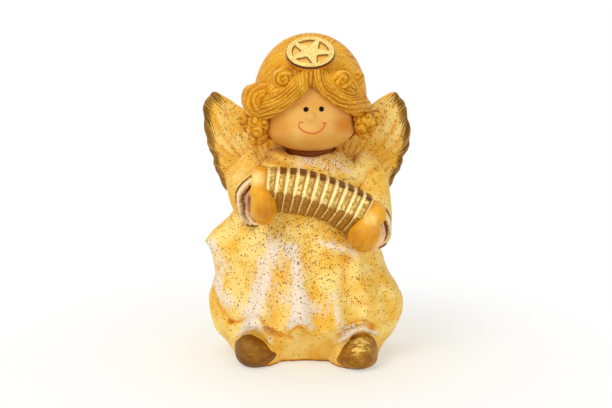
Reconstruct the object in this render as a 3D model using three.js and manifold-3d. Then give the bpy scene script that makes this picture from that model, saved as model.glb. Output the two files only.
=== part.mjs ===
// Ceramic angel figurine playing a small bellows instrument.
// Hollow slip-cast shells and press-moulded sprigs, luted together with thin slip seams.
// Millimetres, +Z up, the figure faces -Y. The origin is on the ground, under the middle of the figure.
import * as THREE from "three";
import { mergeVertices } from "three/addons/utils/BufferGeometryUtils.js";
import Module from "manifold-3d";

const wasm = await Module();
wasm.setup();

// Casting
const WALL = 4; // thickness of the slip-cast shells
const SEAM_GAP = 0.3; // slip seam between two pieces
const POUR_HOLE_RADIUS = 11; // opening in the base that drained the slip

// Dress, from the ground up: each rise is measured from the level below it
const BASE_HALF_WIDTH = 32.5;
const BASE_HALF_DEPTH = 22;
const FOOT_RISE = 9;
const FOOT_HALF_WIDTH = 39.5;
const FOOT_HALF_DEPTH = 26.5;
const HEM_RISE = 13;
const HEM_HALF_WIDTH = 41;
const HEM_HALF_DEPTH = 30.5;
const SKIRT_RISE = 29;
const WAIST_HALF_WIDTH = 32;
const WAIST_HALF_DEPTH = 24;
const BODICE_RISE = 24;
const CHEST_HALF_WIDTH = 26;
const CHEST_HALF_DEPTH = 19.5;
const SHOULDER_RISE = 8.5;
const SHOULDER_HALF_WIDTH = 22;
const SHOULDER_HALF_DEPTH = 17;
const NECKLINE_RISE = 3.5;
const NECKLINE_RADIUS = 13;
const COLLAR_RISE = 4; // the neckline climbs from the front to the sides and the nape

// Relief of the dress
const FLUTE_COUNT = 14; // gathers round the skirt
const FLUTE_DEPTH = 2.4;
const FLUTE_TURN = 0.08; // one gather stands this far to -X of the front, in radians
const FLUTE_SWAY = 0.12; // how far the gathers drift round the skirt as they rise, in radians
const HEM_DIP = 1.6; // the hem hangs lower between the gathers
const HEM_LIP_HEIGHT = 15; // lowest level of the hem over the petticoat
const HEM_STEP = 2.6; // the petticoat is set in under the hem by this much
const HEM_ARCH = 6.5; // the hem is drawn up this much over each shoe
const FRONT_ARCH = 7; // and in a small fold under the foremost gather
const FRONT_DENT = 5; // the base is drawn in between the shoes
const LEG_WALL = 2.6; // roll of cloth round each shoe
const LEG_SETBACK = 5; // the roll's middle behind the middle of the shoe
const HIP_PUFF = 10; // bulge of gathered cloth under the raised arm
const HIP_DENT = 3; // the other hip is drawn in
const HIP_SPREAD = 9; // height over which the hips swell and sink
const HIP_TURN = 1.55; // place of the hips, in radians from the front
const LAP_ROLL = 3; // soft roll of cloth beside the lower hand
const LAP_SPREAD = 4.5; // height over which it fades

// Head and hair
const CHIN_GAP = 2.6; // shaded slot between chin and neckline
const NECK_RADIUS = 10;
const NECK_PLUG = 7; // how far the neck plugs into the dress
const HEAD_OFFSET = 1.8; // the head sits a little to +X
const HEAD_FORWARD = 2; // and its middle in front of the neck
const HEAD_HALF_WIDTH = 19.6;
const HEAD_HALF_DEPTH = 21.5;
const CHIN_DROP = 11.5; // from the cheeks down to the chin
const SKULL_RISE = 31.5; // from the cheeks up to the top of the skull
const NOSE_RADIUS = 2.4;
const NOSE_RISE = 5.8; // its middle above the cheeks
const HAIR_LIFT = 11; // the middle of the hair above the cheeks
const HAIR_SIDE = 4.2; // hair over the temples
const HAIR_DEPTH = 3.6; // hair over the brow and the nape
const HAIR_TOP = 6.2; // hair over the skull
const NAPE_DROP = 18; // lower edge of the hair under its middle
const BANG_HALF_HEIGHT = 4.6; // the two locks that frame the face
const BANG_HALF_DEPTH = 3.6;
const BANG_LIFT = 0.4; // their middle line over the hair
const FRONT_CURL_RADIUS = 5;
const ROLL_RADIUS = 7.6;
const ROLL_TURN = 1.08; // place of the rolls, in radians from the front
const KNOB_RADIUS = 4.6; // small knot of hair above the roll on the +X side
const RINGLET_RADIUS = 4.6;

// Star medallion over the brow
const MEDALLION_RADIUS = 10.2;
const MEDALLION_THICKNESS = 2.8;
const MEDALLION_RIM = 1.8;
const MEDALLION_RECESS = 1.3;
const MEDALLION_RISE = 0.875; // place on the hair, as an angle above its middle in radians
const MEDALLION_TILT = 1; // its face looks up from straight ahead by this much, in radians
const BOSS_SINK = 2.4; // its seat is let into the hair by this much
const STAR_WAIST = 4.2; // radius of the star between its points
const STAR_TURN = 0.3; // radians

// Wings
const WING_THICKNESS = 6.5;
const WING_SWEEP = 0.16; // the tips stand back from the shoulders, in radians
const WING_ROOT_OFFSET = 9; // root of each wing from the middle of the back
const WING_SINK = 3.5; // the root is let into the back by this much
const WING_SPAN = 37.5; // root to outermost feather
const WING_RISE = 36.5; // root level up to the wing tip
const WING_DROP = 13; // root level down to the lowest feather
const FEATHER_COUNT = 15;
const FEATHER_NOTCH = 1.1; // notches between the feather ends

// Bellows instrument
const BELLOWS_LENGTH = 41.4;
const BELLOWS_HEIGHT = 19;
const BELLOWS_DEPTH = 13;
const BELLOWS_SINK = 2.2; // the back is let into the dress by this much
const BELLOWS_RISE = 2; // its raised end over the chest level
const BELLOWS_OFFSET = 16.4; // its raised end to -X of the middle of the figure
const BELLOWS_HEADING = -0.07; // direction at the raised end, radians over level
const BELLOWS_BEND = 0.47; // how far the bellows curve down to the lower end, in radians
const PLEAT_COUNT = 11;
const PLEAT_DEPTH = 1.6;
const END_BOARD_THICKNESS = 6;
const END_BOARD_MARGIN = 0.6; // the boards stand proud of the bellows

// Arms
const SLEEVE_WALL = 1.8;
const SLEEVE_UPPER_RADIUS = 9.5;
const SLEEVE_ELBOW_RADIUS = 10.5;
const SLEEVE_MOUTH_WIDE = 9; // half width of the bell mouth
const SLEEVE_MOUTH_TALL = 12; // half height of the bell mouth
const SLEEVE_MOUTH_DEPTH = 8; // how deep the bell mouth is open
const CUFF_INSET = 2; // dark crescent between sleeve and cuff
const CUFF_RECESS = 1.2; // the cuff ends inside the mouth by this much
const HAND_HALF_WIDTH = 6;
const HAND_HALF_LENGTH = 7.4;
const HAND_REACH = 8; // wrist to the middle of the hand
const HAND_DRIFT = 2.4; // both hands hold the boards this far to +X of their middles
const SHOULDER_BACK = 2; // the arms start behind the middle of the body by this much
const MOUTH_OUT = 1.6; // the sleeve mouths lie outwards of the hands
const ELBOW_OUT = 0.5; // the elbows lie a little outside the line from shoulder to mouth
const ELBOW_BACK = 6;

// Shoes
const SHOE_HALF_WIDTH = 9.6;
const SHOE_HALF_LENGTH = 12.5;
const SHOE_HALF_HEIGHT = 9.5;
const SHOE_MIDDLE = 4.3; // widest level above the ground
const SHOE_SPREAD = 20.8; // middle of each shoe from the middle of the figure
const SHOE_SHOW = 7.5; // how far the toes stand out of the dress
const SHOE_STAGGER = 2.5; // the shoe on the -X side stands back by this much
const SHOE_TURN_OUT = 0.24; // radians

// Fineness of the meshes
const DRESS_SIDES = 60;
const FRONT_DETAIL = 0.45; // how much closer the sides of the skirt lie in front than behind
const DRESS_RINGS = 15;
const HOLLOW_SIDES = 16;
const HEAD_SIDES = 20;
const HAIR_SIDES = 22;
const LIMB_SIDES = 12;
const CURL_SIDES = 15;
const RINGLET_SIDES = 10;

// Paints of the fired figure
const paints = {
  dress: { color: 0xe9b95a, roughness: 0.75, metalness: 0 },
  skin: { color: 0xe0a35c, roughness: 0.5, metalness: 0 },
  hair: { color: 0xdda02b, roughness: 0.6, metalness: 0 },
  lining: { color: 0xe6c3a0, roughness: 0.7, metalness: 0 },
  gold: { color: 0xb08a3c, roughness: 0.4, metalness: 0.8 },
};

const smooth = THREE.MathUtils.smoothstep;
const vec = (x, y, z) => new THREE.Vector3(x, y, z);
const UP = vec(0, 0, 1);
const FRONT = vec(0, -1, 0);

// A bump of height 1 round zero
function bump(distance, spread) {
  return Math.exp(-((distance / spread) ** 2));
}

// The shorter way round from one angle to another
function turnBetween(a, b) {
  return Math.atan2(Math.sin(a - b), Math.cos(a - b));
}

// Solids

function solidFrom(geometry) {
  const bare = geometry.clone();
  bare.deleteAttribute("normal");
  bare.deleteAttribute("uv");
  const merged = mergeVertices(bare);
  const vertProperties = merged.attributes.position.array;
  const triVerts = new Uint32Array(merged.index.array);
  const made = new wasm.Manifold(new wasm.Mesh({ numProp: 3, vertProperties, triVerts }));
  if (made.volume() > 0) return made;
  return new wasm.Manifold(new wasm.Mesh({ numProp: 3, vertProperties, triVerts: triVerts.reverse() }));
}

function geometryFrom(solid) {
  const mesh = solid.getMesh();
  const geometry = new THREE.BufferGeometry();
  geometry.setAttribute("position", new THREE.BufferAttribute(mesh.vertProperties, 3));
  geometry.setIndex(new THREE.BufferAttribute(mesh.triVerts, 1));
  geometry.computeVertexNormals();
  return geometry;
}

// The same solid with its skin moved outwards by the seam, to cut the seat of a neighbour.
// The solid itself stays in it, for sharp creases that the moved skin can cut off.
function swollen(solid) {
  const geometry = geometryFrom(solid);
  const { position, normal } = geometry.attributes;
  const point = vec(0, 0, 0);
  const outwards = vec(0, 0, 0);
  for (let i = 0; i < position.count; i++) {
    point.fromBufferAttribute(position, i);
    outwards.fromBufferAttribute(normal, i);
    position.setXYZ(i, ...point.addScaledVector(outwards, SEAM_GAP));
  }
  return solid.add(solidFrom(geometry));
}

function joined(...solids) {
  return solids.reduce((a, b) => a.add(b));
}

function ringOf(sides, pointAt) {
  return Array.from({ length: sides }, (_, i) => pointAt((2 * Math.PI * i) / sides));
}

// A closed skin over rings of points, with a fan over each end ring
function loft(rings) {
  const sides = rings[0].length;
  const middles = [rings[0], rings.at(-1)].map((ring) => {
    const sum = ring.reduce((total, p) => total.add(p), vec(0, 0, 0));
    return sum.divideScalar(sides);
  });
  const points = [...rings.flat(), ...middles];
  const top = (rings.length - 1) * sides;
  const fan = rings.length * sides;
  const index = [];
  for (let i = 0; i < sides; i++) {
    const j = (i + 1) % sides;
    for (let low = 0; low < top; low += sides) {
      const high = low + sides;
      index.push(low + i, low + j, high + j, low + i, high + j, high + i);
    }
    index.push(fan, j, i, fan + 1, top + i, top + j);
  }
  return solidFrom(new THREE.BufferGeometry().setFromPoints(points).setIndex(index));
}

// A ball with its own half sizes, and different halves above and below its middle
function egg(centre, halfWidth, halfDepth, drop, rise, sides) {
  const ball = new THREE.SphereGeometry(1, sides, sides / 2).rotateX(Math.PI / 2);
  const { position } = ball.attributes;
  for (let i = 0; i < position.count; i++) {
    const z = position.getZ(i);
    position.setXYZ(i, position.getX(i) * halfWidth, position.getY(i) * halfDepth, z * (z < 0 ? drop : rise));
  }
  return solidFrom(ball.translate(centre.x, centre.y, centre.z));
}

function upright(centre, radius, length) {
  const bar = new THREE.CylinderGeometry(radius, radius, length, HEAD_SIDES).rotateX(Math.PI / 2);
  return solidFrom(bar.translate(centre.x, centre.y, centre.z));
}

// Oval rings along a smooth line of stops. Each stop has a place and two half sizes.
function limb(stops, side, { from = 0, inset = 0, overrun = 0, steps = 10 } = {}) {
  const line = new THREE.CatmullRomCurve3(stops.map(({ at }) => at));
  const sizes = new THREE.CatmullRomCurve3(stops.map(({ wide, tall }) => vec(wide, tall, 0)));
  const rings = [];
  for (let k = 0; k <= steps; k++) {
    const t = from + ((1 - from) * k) / steps;
    const along = line.getTangent(t);
    const across = side.clone().projectOnPlane(along).normalize();
    const over = along.clone().cross(across);
    const middle = line.getPoint(t).addScaledVector(along, k === steps ? overrun : 0);
    const size = sizes.getPoint(t).subScalar(inset);
    rings.push(
      ringOf(LIMB_SIDES, (turn) =>
        middle
          .clone()
          .addScaledVector(across, size.x * Math.cos(turn))
          .addScaledVector(over, size.y * Math.sin(turn)),
      ),
    );
  }
  return loft(rings);
}

// A lock rolled up like a snail: an egg with a spiral groove that starts at its eye
function curl(centre, facing, radius, height, turns, sides = CURL_SIDES) {
  const ball = new THREE.SphereGeometry(1, sides, Math.round(sides * 0.6));
  const { position } = ball.attributes;
  for (let i = 0; i < position.count; i++) {
    const p = vec(0, 0, 0).fromBufferAttribute(position, i);
    const fromEye = Math.acos(THREE.MathUtils.clamp(p.y, -1, 1)) / Math.PI;
    const groove = 0.5 - 0.5 * Math.cos(Math.atan2(p.z, p.x) - 2 * Math.PI * turns * fromEye);
    const dip = 1 - 0.16 * groove * smooth(fromEye, 0.04, 0.16) * (1 - smooth(fromEye, 0.84, 0.96));
    position.setXYZ(i, p.x * radius * dip, p.y * height * dip, p.z * radius * dip);
  }
  const turn = new THREE.Quaternion().setFromUnitVectors(vec(0, 1, 0), facing.clone().normalize());
  return solidFrom(ball.applyQuaternion(turn).translate(centre.x, centre.y, centre.z));
}

// Dress

const hemHeight = FOOT_RISE + HEM_RISE;
const waistHeight = hemHeight + SKIRT_RISE;
const chestHeight = waistHeight + BODICE_RISE;
const shoulderHeight = chestHeight + SHOULDER_RISE;
const necklineHeight = shoulderHeight + NECKLINE_RISE;

// Outline of the dress: half width, half depth and height at each level
const dressOutline = new THREE.CatmullRomCurve3([
  vec(BASE_HALF_WIDTH, BASE_HALF_DEPTH, 0),
  vec(FOOT_HALF_WIDTH, FOOT_HALF_DEPTH, FOOT_RISE),
  vec(HEM_HALF_WIDTH, HEM_HALF_DEPTH, hemHeight),
  vec(WAIST_HALF_WIDTH, WAIST_HALF_DEPTH, waistHeight),
  vec(CHEST_HALF_WIDTH, CHEST_HALF_DEPTH, chestHeight),
  vec(SHOULDER_HALF_WIDTH, SHOULDER_HALF_DEPTH, shoulderHeight),
  vec(NECKLINE_RADIUS, NECKLINE_RADIUS, necklineHeight),
]);

// Level of the plain dress at a height
function levelAt(height) {
  let low = 0;
  let high = 1;
  while (high - low > 1e-5) {
    const middle = (low + high) / 2;
    if (dressOutline.getPoint(middle).z < height) low = middle;
    else high = middle;
  }
  return dressOutline.getPoint(low);
}

// Angle 0 is the front of the dress, and a quarter turn is its +X side
function dressPoint(level, angle, relief) {
  return vec((level.x + relief) * Math.sin(angle), -(level.y + relief) * Math.cos(angle), level.z);
}

const shoeAngle = Math.asin(SHOE_SPREAD / FOOT_HALF_WIDTH);
const shoeSetback = FOOT_HALF_DEPTH * Math.cos(shoeAngle) + SHOE_SHOW - SHOE_HALF_LENGTH;

function shoeCentre(side) {
  return vec(side * SHOE_SPREAD, -shoeSetback + (side < 0 ? SHOE_STAGGER : 0), SHOE_MIDDLE);
}

// Gathers round the skirt: 1 on a crest, 0 in a valley
function gather(height, angle) {
  const drift = FLUTE_SWAY * Math.sin(2 * angle) * (height / waistHeight);
  return 0.5 + 0.5 * Math.cos(FLUTE_COUNT * (angle + FLUTE_TURN + drift + 0.04 * Math.sin(3 * angle)));
}

// Lower edge of the skirt, drawn up over each shoe and in front
function hemAt(angle) {
  const turn = turnBetween(angle, 0);
  const overShoe = HEM_ARCH * bump(Math.abs(turn) - shoeAngle, 0.3);
  const inFront = FRONT_ARCH * bump(turn + FLUTE_TURN, 0.11);
  return HEM_LIP_HEIGHT + overShoe + inFront - HEM_DIP * (1 - gather(HEM_LIP_HEIGHT, angle));
}

// Relief of the skirt's cloth over the plain outline
function skirtRelief(height, angle) {
  const fade = 1 - smooth(height, hemHeight, waistHeight);
  return (
    FLUTE_DEPTH * (gather(height, angle) - 0.5) * fade +
    HIP_PUFF * bump(turnBetween(angle, -HIP_TURN), 0.45) * bump(height - waistHeight, HIP_SPREAD) -
    HIP_DENT * bump(turnBetween(angle, HIP_TURN), 0.4) * bump(height - waistHeight + HIP_SPREAD, HIP_SPREAD) +
    LAP_ROLL * bump(turnBetween(angle, 0.55), 0.36) * bump(height - waistHeight, LAP_SPREAD)
  );
}

function skirtAndBodice() {
  const rings = [];
  for (let k = 0; k <= DRESS_RINGS; k++) {
    const share = (k / DRESS_RINGS) ** 1.15;
    rings.push(
      ringOf(DRESS_SIDES, (turn) => {
        const angle = turn - FRONT_DETAIL * Math.sin(turn);
        const height = THREE.MathUtils.lerp(hemAt(angle), necklineHeight, share);
        const collar = COLLAR_RISE * smooth(height, shoulderHeight, necklineHeight);
        const climb = collar * (1 - bump(turnBetween(angle, 0), 1));
        return dressPoint(levelAt(height), angle, skirtRelief(height, angle)).addScaledVector(UP, climb);
      }),
    );
  }
  return loft(rings);
}

// Smooth petticoat under the hem, dented in front between the shoes
function petticoatRelief(height, angle) {
  return -HEM_STEP - FRONT_DENT * bump(turnBetween(angle, 0), 0.4) * bump(height, HEM_LIP_HEIGHT);
}

function petticoat() {
  const top = hemHeight + HEM_ARCH;
  const steps = 8;
  const heights = Array.from({ length: steps + 1 }, (_, k) => (top * k) / steps);
  return loft(
    heights.map((height) => {
      const level = levelAt(height);
      return ringOf(DRESS_SIDES / 2, (angle) => dressPoint(level, angle, petticoatRelief(height, angle)));
    }),
  );
}

// The roll of cloth that each shoe comes out of
function leg(side) {
  const centre = shoeCentre(side).addScaledVector(FRONT, -LEG_SETBACK);
  const tall = SHOE_HALF_HEIGHT + LEG_WALL;
  const form = egg(centre, SHOE_HALF_WIDTH + LEG_WALL, SHOE_HALF_LENGTH + LEG_WALL, tall, tall, CURL_SIDES);
  return aboveGround(form);
}

function aboveGround(solid) {
  const size = 4 * HEM_HALF_WIDTH;
  const ground = new THREE.BoxGeometry(size, size, size).translate(0, 0, -size / 2);
  return solid.subtract(solidFrom(ground));
}

const dressBody = joined(skirtAndBodice(), petticoat(), leg(-1), leg(1));

// The hollow that was left when the slip was poured out: plain, one wall inside the folds
function dressHollow() {
  const steps = 12;
  const top = shoulderHeight - WALL;
  const heights = Array.from({ length: steps + 1 }, (_, k) => THREE.MathUtils.lerp(WALL, top, k / steps));
  return loft(
    heights.map((height) => {
      const inset = WALL + HEM_STEP + FRONT_DENT * bump(height, HEM_LIP_HEIGHT);
      return ringOf(HOLLOW_SIDES, (angle) => dressPoint(levelAt(height), angle, -inset));
    }),
  );
}

const neckAxis = vec(HEAD_OFFSET, 0, necklineHeight);
const neckHole = upright(neckAxis, NECK_RADIUS + SEAM_GAP, 2 * (NECK_PLUG + WALL));
const pourHole = upright(vec(0, 0, 0), POUR_HOLE_RADIUS, 4 * WALL);
const dressShell = dressBody.subtract(dressHollow()).subtract(neckHole).subtract(pourHole);

// Head

const headCentre = vec(HEAD_OFFSET, -HEAD_FORWARD, necklineHeight + CHIN_GAP + CHIN_DROP);

const headBody = egg(headCentre, HEAD_HALF_WIDTH, HEAD_HALF_DEPTH, CHIN_DROP, SKULL_RISE, HEAD_SIDES);

function headShell() {
  const neckLength = 2 * NECK_PLUG + CHIN_GAP + CHIN_DROP;
  const neckMiddle = neckAxis.clone().setZ(necklineHeight - NECK_PLUG + neckLength / 2);
  const neck = upright(neckMiddle, NECK_RADIUS, neckLength);
  const nose = egg(
    headCentre.clone().add(vec(0, -HEAD_HALF_DEPTH, NOSE_RISE)),
    NOSE_RADIUS,
    NOSE_RADIUS / 2,
    NOSE_RADIUS,
    NOSE_RADIUS,
    LIMB_SIDES,
  );
  const hollow = egg(
    headCentre,
    HEAD_HALF_WIDTH - WALL,
    HEAD_HALF_DEPTH - WALL,
    CHIN_DROP - WALL,
    SKULL_RISE - WALL,
    HOLLOW_SIDES,
  );
  const bore = upright(neckMiddle, NECK_RADIUS - WALL, neckLength + WALL);
  return joined(headBody, neck, nose).subtract(hollow).subtract(bore);
}

// Hair

const hairCentre = headCentre.clone().add(vec(0, HAIR_DEPTH, HAIR_LIFT));
const hairHalf = vec(
  HEAD_HALF_WIDTH + HAIR_SIDE,
  HEAD_HALF_DEPTH + HAIR_DEPTH,
  SKULL_RISE + HAIR_TOP - HAIR_LIFT,
);

// A place on the hair: turn goes from the front to +X, rise goes up, lift stands off the skin
function onHair(turn, rise, lift = 0) {
  const flat = Math.cos(rise);
  const p = vec(flat * Math.sin(turn), -flat * Math.cos(turn), Math.sin(rise));
  const outwards = p.clone().divide(hairHalf).normalize();
  return p.multiply(hairHalf).add(hairCentre).addScaledVector(outwards, lift);
}

// Each front lock starts at the parting and sweeps round to the temple
function bang(side) {
  const sweep = [
    [-0.02, 0.54, 0.4],
    [0.16, 0.36, 0.9],
    [0.37, 0.2, 1],
    [0.75, -0.02, 1.05],
    [1.2, -0.18, 1],
    [1.5, -0.3, 0.4],
  ];
  const stops = sweep.map(([turn, rise, size]) => ({
    at: onHair(side * turn, rise + 0.03 * side, BANG_LIFT),
    wide: BANG_HALF_HEIGHT * size,
    tall: BANG_HALF_DEPTH * size,
  }));
  return limb(stops, UP);
}

// Where the face shows: an arch in front view, cut back to the ears
function faceWindow() {
  const low = headCentre.z - CHIN_DROP - CHIN_GAP;
  const temple = hairHalf.x + HAIR_SIDE;
  const peak = onHair(0, 0.42);
  const arch = new THREE.Shape();
  arch.moveTo(-temple, low);
  arch.lineTo(temple, low);
  arch.lineTo(temple, onHair(1.2, -0.2).z);
  arch.quadraticCurveTo(HEAD_HALF_WIDTH / 3, onHair(0.5, 0.2).z, 0, peak.z);
  arch.quadraticCurveTo(-HEAD_HALF_WIDTH / 3, onHair(0.5, 0.2).z, -temple, onHair(1.2, -0.2).z);
  const depth = hairHalf.y + HAIR_DEPTH;
  const block = new THREE.ExtrudeGeometry(arch, { depth, bevelEnabled: false, curveSegments: 8 });
  block.rotateX(Math.PI / 2);
  return solidFrom(block.translate(headCentre.x, headCentre.y - HAIR_DEPTH, 0));
}

// The medallion sits on a round boss of hair, square to the hair under it
const medallionSeat = onHair(0, MEDALLION_RISE, -BOSS_SINK);
const medallionFacing = vec(0, -Math.cos(MEDALLION_TILT), Math.sin(MEDALLION_TILT));

function onMedallionSeat(radiusTop, radiusFoot, length, rise) {
  const bar = new THREE.CylinderGeometry(radiusTop, radiusFoot, length, HAIR_SIDES);
  bar.translate(0, rise - length / 2, 0);
  bar.applyQuaternion(new THREE.Quaternion().setFromUnitVectors(vec(0, 1, 0), medallionFacing));
  return solidFrom(bar.translate(...medallionSeat));
}

function medallionBoss() {
  return onMedallionSeat(MEDALLION_RADIUS, MEDALLION_RADIUS + BOSS_SINK, BOSS_SINK + HAIR_TOP, 0);
}

function medallionPocket() {
  const radius = MEDALLION_RADIUS + SEAM_GAP;
  return onMedallionSeat(radius, radius, 2 * HAIR_TOP, 2 * HAIR_TOP);
}

function hairForm() {
  const crown = egg(hairCentre, hairHalf.x, hairHalf.y, hairHalf.z, hairHalf.z, HAIR_SIDES);
  const nape = new THREE.BoxGeometry(4 * hairHalf.x, 4 * hairHalf.y, hairHalf.z);
  const belowNape = solidFrom(nape.translate(0, 0, hairCentre.z - NAPE_DROP - hairHalf.z / 2));
  const cap = crown.subtract(faceWindow());
  return joined(cap, bang(-1), bang(1), medallionBoss()).subtract(belowNape).subtract(medallionPocket());
}

function frontCurl(side) {
  const at = onHair(side * 0.52, 0.4, FRONT_CURL_RADIUS / 3);
  return curl(at, at.clone().sub(hairCentre), FRONT_CURL_RADIUS, FRONT_CURL_RADIUS, 2.5 * side);
}

// The roll on the +X side lies deeper in the hair, with a knob above it
function roll(side) {
  const lift = side < 0 ? ROLL_RADIUS / 5 : -ROLL_RADIUS / 6;
  const at = onHair(side * ROLL_TURN, -0.02, lift);
  const form = curl(at, vec(side, -1, 0), ROLL_RADIUS, ROLL_RADIUS, 3 * side);
  if (side < 0) return form;
  const knob = curl(onHair(1.2, 0.32), vec(1, 0, 0), KNOB_RADIUS, KNOB_RADIUS, 2, RINGLET_SIDES);
  return joined(form, knob);
}

function ringlets(side) {
  const places = [
    [1.4, -0.38, 0.5],
    [1.02, -0.42, 0.4],
    [1.2, -0.62, 0.6],
  ];
  return joined(
    ...places.map(([turn, rise, lift]) => {
      const at = onHair(side * turn, rise, lift * RINGLET_RADIUS);
      return curl(at, UP, RINGLET_RADIUS, RINGLET_RADIUS * 1.15, 2, RINGLET_SIDES);
    }),
  );
}

// Medallion

function medallionForm() {
  const floor = MEDALLION_THICKNESS - MEDALLION_RECESS;
  const inner = MEDALLION_RADIUS - MEDALLION_RIM;
  const edge = MEDALLION_RIM / 4;
  const profile = [
    new THREE.Vector2(0, 0),
    new THREE.Vector2(MEDALLION_RADIUS, 0),
    new THREE.Vector2(MEDALLION_RADIUS, MEDALLION_THICKNESS - edge),
    new THREE.Vector2(MEDALLION_RADIUS - edge, MEDALLION_THICKNESS),
    new THREE.Vector2(inner + edge, MEDALLION_THICKNESS),
    new THREE.Vector2(inner, floor),
    new THREE.Vector2(0, floor),
  ];
  const disc = solidFrom(new THREE.LatheGeometry(profile, HAIR_SIDES));
  const star = new THREE.Shape();
  for (let i = 0; i < 10; i++) {
    const radius = i % 2 ? STAR_WAIST : inner + edge;
    const turn = STAR_TURN + (Math.PI * i) / 5;
    star.lineTo(radius * Math.sin(turn), radius * Math.cos(turn));
  }
  const depth = MEDALLION_THICKNESS - edge - floor / 2;
  const relief = new THREE.ExtrudeGeometry(star, { depth, bevelEnabled: false }).rotateX(-Math.PI / 2);
  const form = geometryFrom(disc.add(solidFrom(relief.translate(0, floor / 2, 0))));
  form.applyQuaternion(new THREE.Quaternion().setFromUnitVectors(vec(0, 1, 0), medallionFacing));
  const seam = medallionFacing.clone().multiplyScalar(SEAM_GAP);
  return solidFrom(form.translate(...medallionSeat.clone().add(seam)));
}

// Wings

function wing(side) {
  const outline = new THREE.CatmullRomCurve3(
    [
      vec(0, -0.55 * WING_DROP, 0),
      vec(0.5 * WING_SPAN, -WING_DROP, 0),
      vec(0.74 * WING_SPAN, -0.5 * WING_DROP, 0),
      vec(0.9 * WING_SPAN, 0.3 * WING_RISE, 0),
      vec(0.98 * WING_SPAN, 0.58 * WING_RISE, 0),
      vec(WING_SPAN, 0.86 * WING_RISE, 0),
      vec(0.86 * WING_SPAN, WING_RISE, 0),
      vec(0.55 * WING_SPAN, 0.82 * WING_RISE, 0),
      vec(0.2 * WING_SPAN, 0.55 * WING_RISE, 0),
      vec(0, 0.3 * WING_RISE, 0),
    ],
    true,
  );
  const edge = outline.getSpacedPoints(3 * FEATHER_COUNT).slice(0, -1);
  const middle = vec(WING_SPAN / 2, WING_RISE / 4, 0);
  const layers = [0.62, 0.9, 1, 0.9, 0.62];
  const rings = layers.map((share, k) => {
    const lift = (WING_THICKNESS / 2) * Math.sqrt(1 - share ** 6) * Math.sign(2 - k);
    return edge.map((p, i) => {
      const feather = i % 3 ? 1 : 0;
      const notch = FEATHER_NOTCH * (1 - feather) * smooth(p.x, WING_SPAN / 2, WING_SPAN);
      const out = p.clone().sub(middle);
      out.setLength(out.length() * share - notch * share);
      return out.add(middle).setZ(lift);
    });
  });
  const skin = geometryFrom(loft(rings));
  skin.rotateX(Math.PI / 2).rotateZ(WING_SWEEP);
  skin.translate(WING_ROOT_OFFSET, SHOULDER_HALF_DEPTH - WING_SINK + WING_THICKNESS / 2, chestHeight);
  return solidFrom(skin.scale(side, 1, 1));
}

// Bellows instrument: its middle line is an arc in front of the chest

const bellowsBack = -(CHEST_HALF_DEPTH - BELLOWS_SINK);

// Frame of the instrument at a distance along its middle line
function bellowsFrame(distance) {
  const rate = BELLOWS_BEND / BELLOWS_LENGTH;
  const heading = BELLOWS_HEADING - rate * distance;
  const x = -BELLOWS_OFFSET + (Math.sin(BELLOWS_HEADING) - Math.sin(heading)) / rate;
  const z = chestHeight + BELLOWS_RISE + (Math.cos(heading) - Math.cos(BELLOWS_HEADING)) / rate;
  const along = vec(Math.cos(heading), 0, Math.sin(heading));
  return { middle: vec(x, bellowsBack, z), along, over: vec(-along.z, 0, along.x) };
}

// Section of the bellows as forward and up shares: a wedge with its ridge to the front
const bellowsSection = [
  [0, -0.5],
  [0.42, -0.5],
  [0.6, -0.42],
  [0.96, -0.08],
  [1, 0.04],
  [0.8, 0.42],
  [0.66, 0.5],
  [0, 0.5],
];

function bellows() {
  const pitch = BELLOWS_LENGTH / PLEAT_COUNT;
  const rings = [];
  for (let k = 0; k < PLEAT_COUNT; k++) {
    const profile = [
      [0, PLEAT_DEPTH],
      [0.16, PLEAT_DEPTH],
      [0.3, 0],
      [0.86, 0],
      [1, PLEAT_DEPTH],
    ];
    const used = k + 1 < PLEAT_COUNT ? profile.slice(0, -1) : profile;
    for (const [share, dip] of used) {
      const { middle, over } = bellowsFrame((k + share) * pitch);
      rings.push(
        bellowsSection.map(([forward, up]) =>
          middle
            .clone()
            .addScaledVector(FRONT, forward * (BELLOWS_DEPTH - dip))
            .addScaledVector(over, up * (BELLOWS_HEIGHT - 2 * dip)),
        ),
      );
    }
  }
  return loft(rings);
}

function endBoard(side) {
  const start = side < 0 ? -SEAM_GAP : BELLOWS_LENGTH + SEAM_GAP;
  const { middle, along, over } = bellowsFrame(start);
  const rings = [0, 0.2, 0.8, 1].map((share, k) => {
    const shrink = k === 3 ? END_BOARD_THICKNESS / 5 : 0;
    return bellowsSection.map(([forward, up]) =>
      middle
        .clone()
        .addScaledVector(along, side * share * END_BOARD_THICKNESS)
        .addScaledVector(FRONT, forward * (BELLOWS_DEPTH + END_BOARD_MARGIN - shrink))
        .addScaledVector(over, up * (BELLOWS_HEIGHT + 2 * END_BOARD_MARGIN - 2 * shrink)),
    );
  });
  return loft(rings);
}

// Arms: the hands hold the end boards low down, and everything else follows from them

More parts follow.
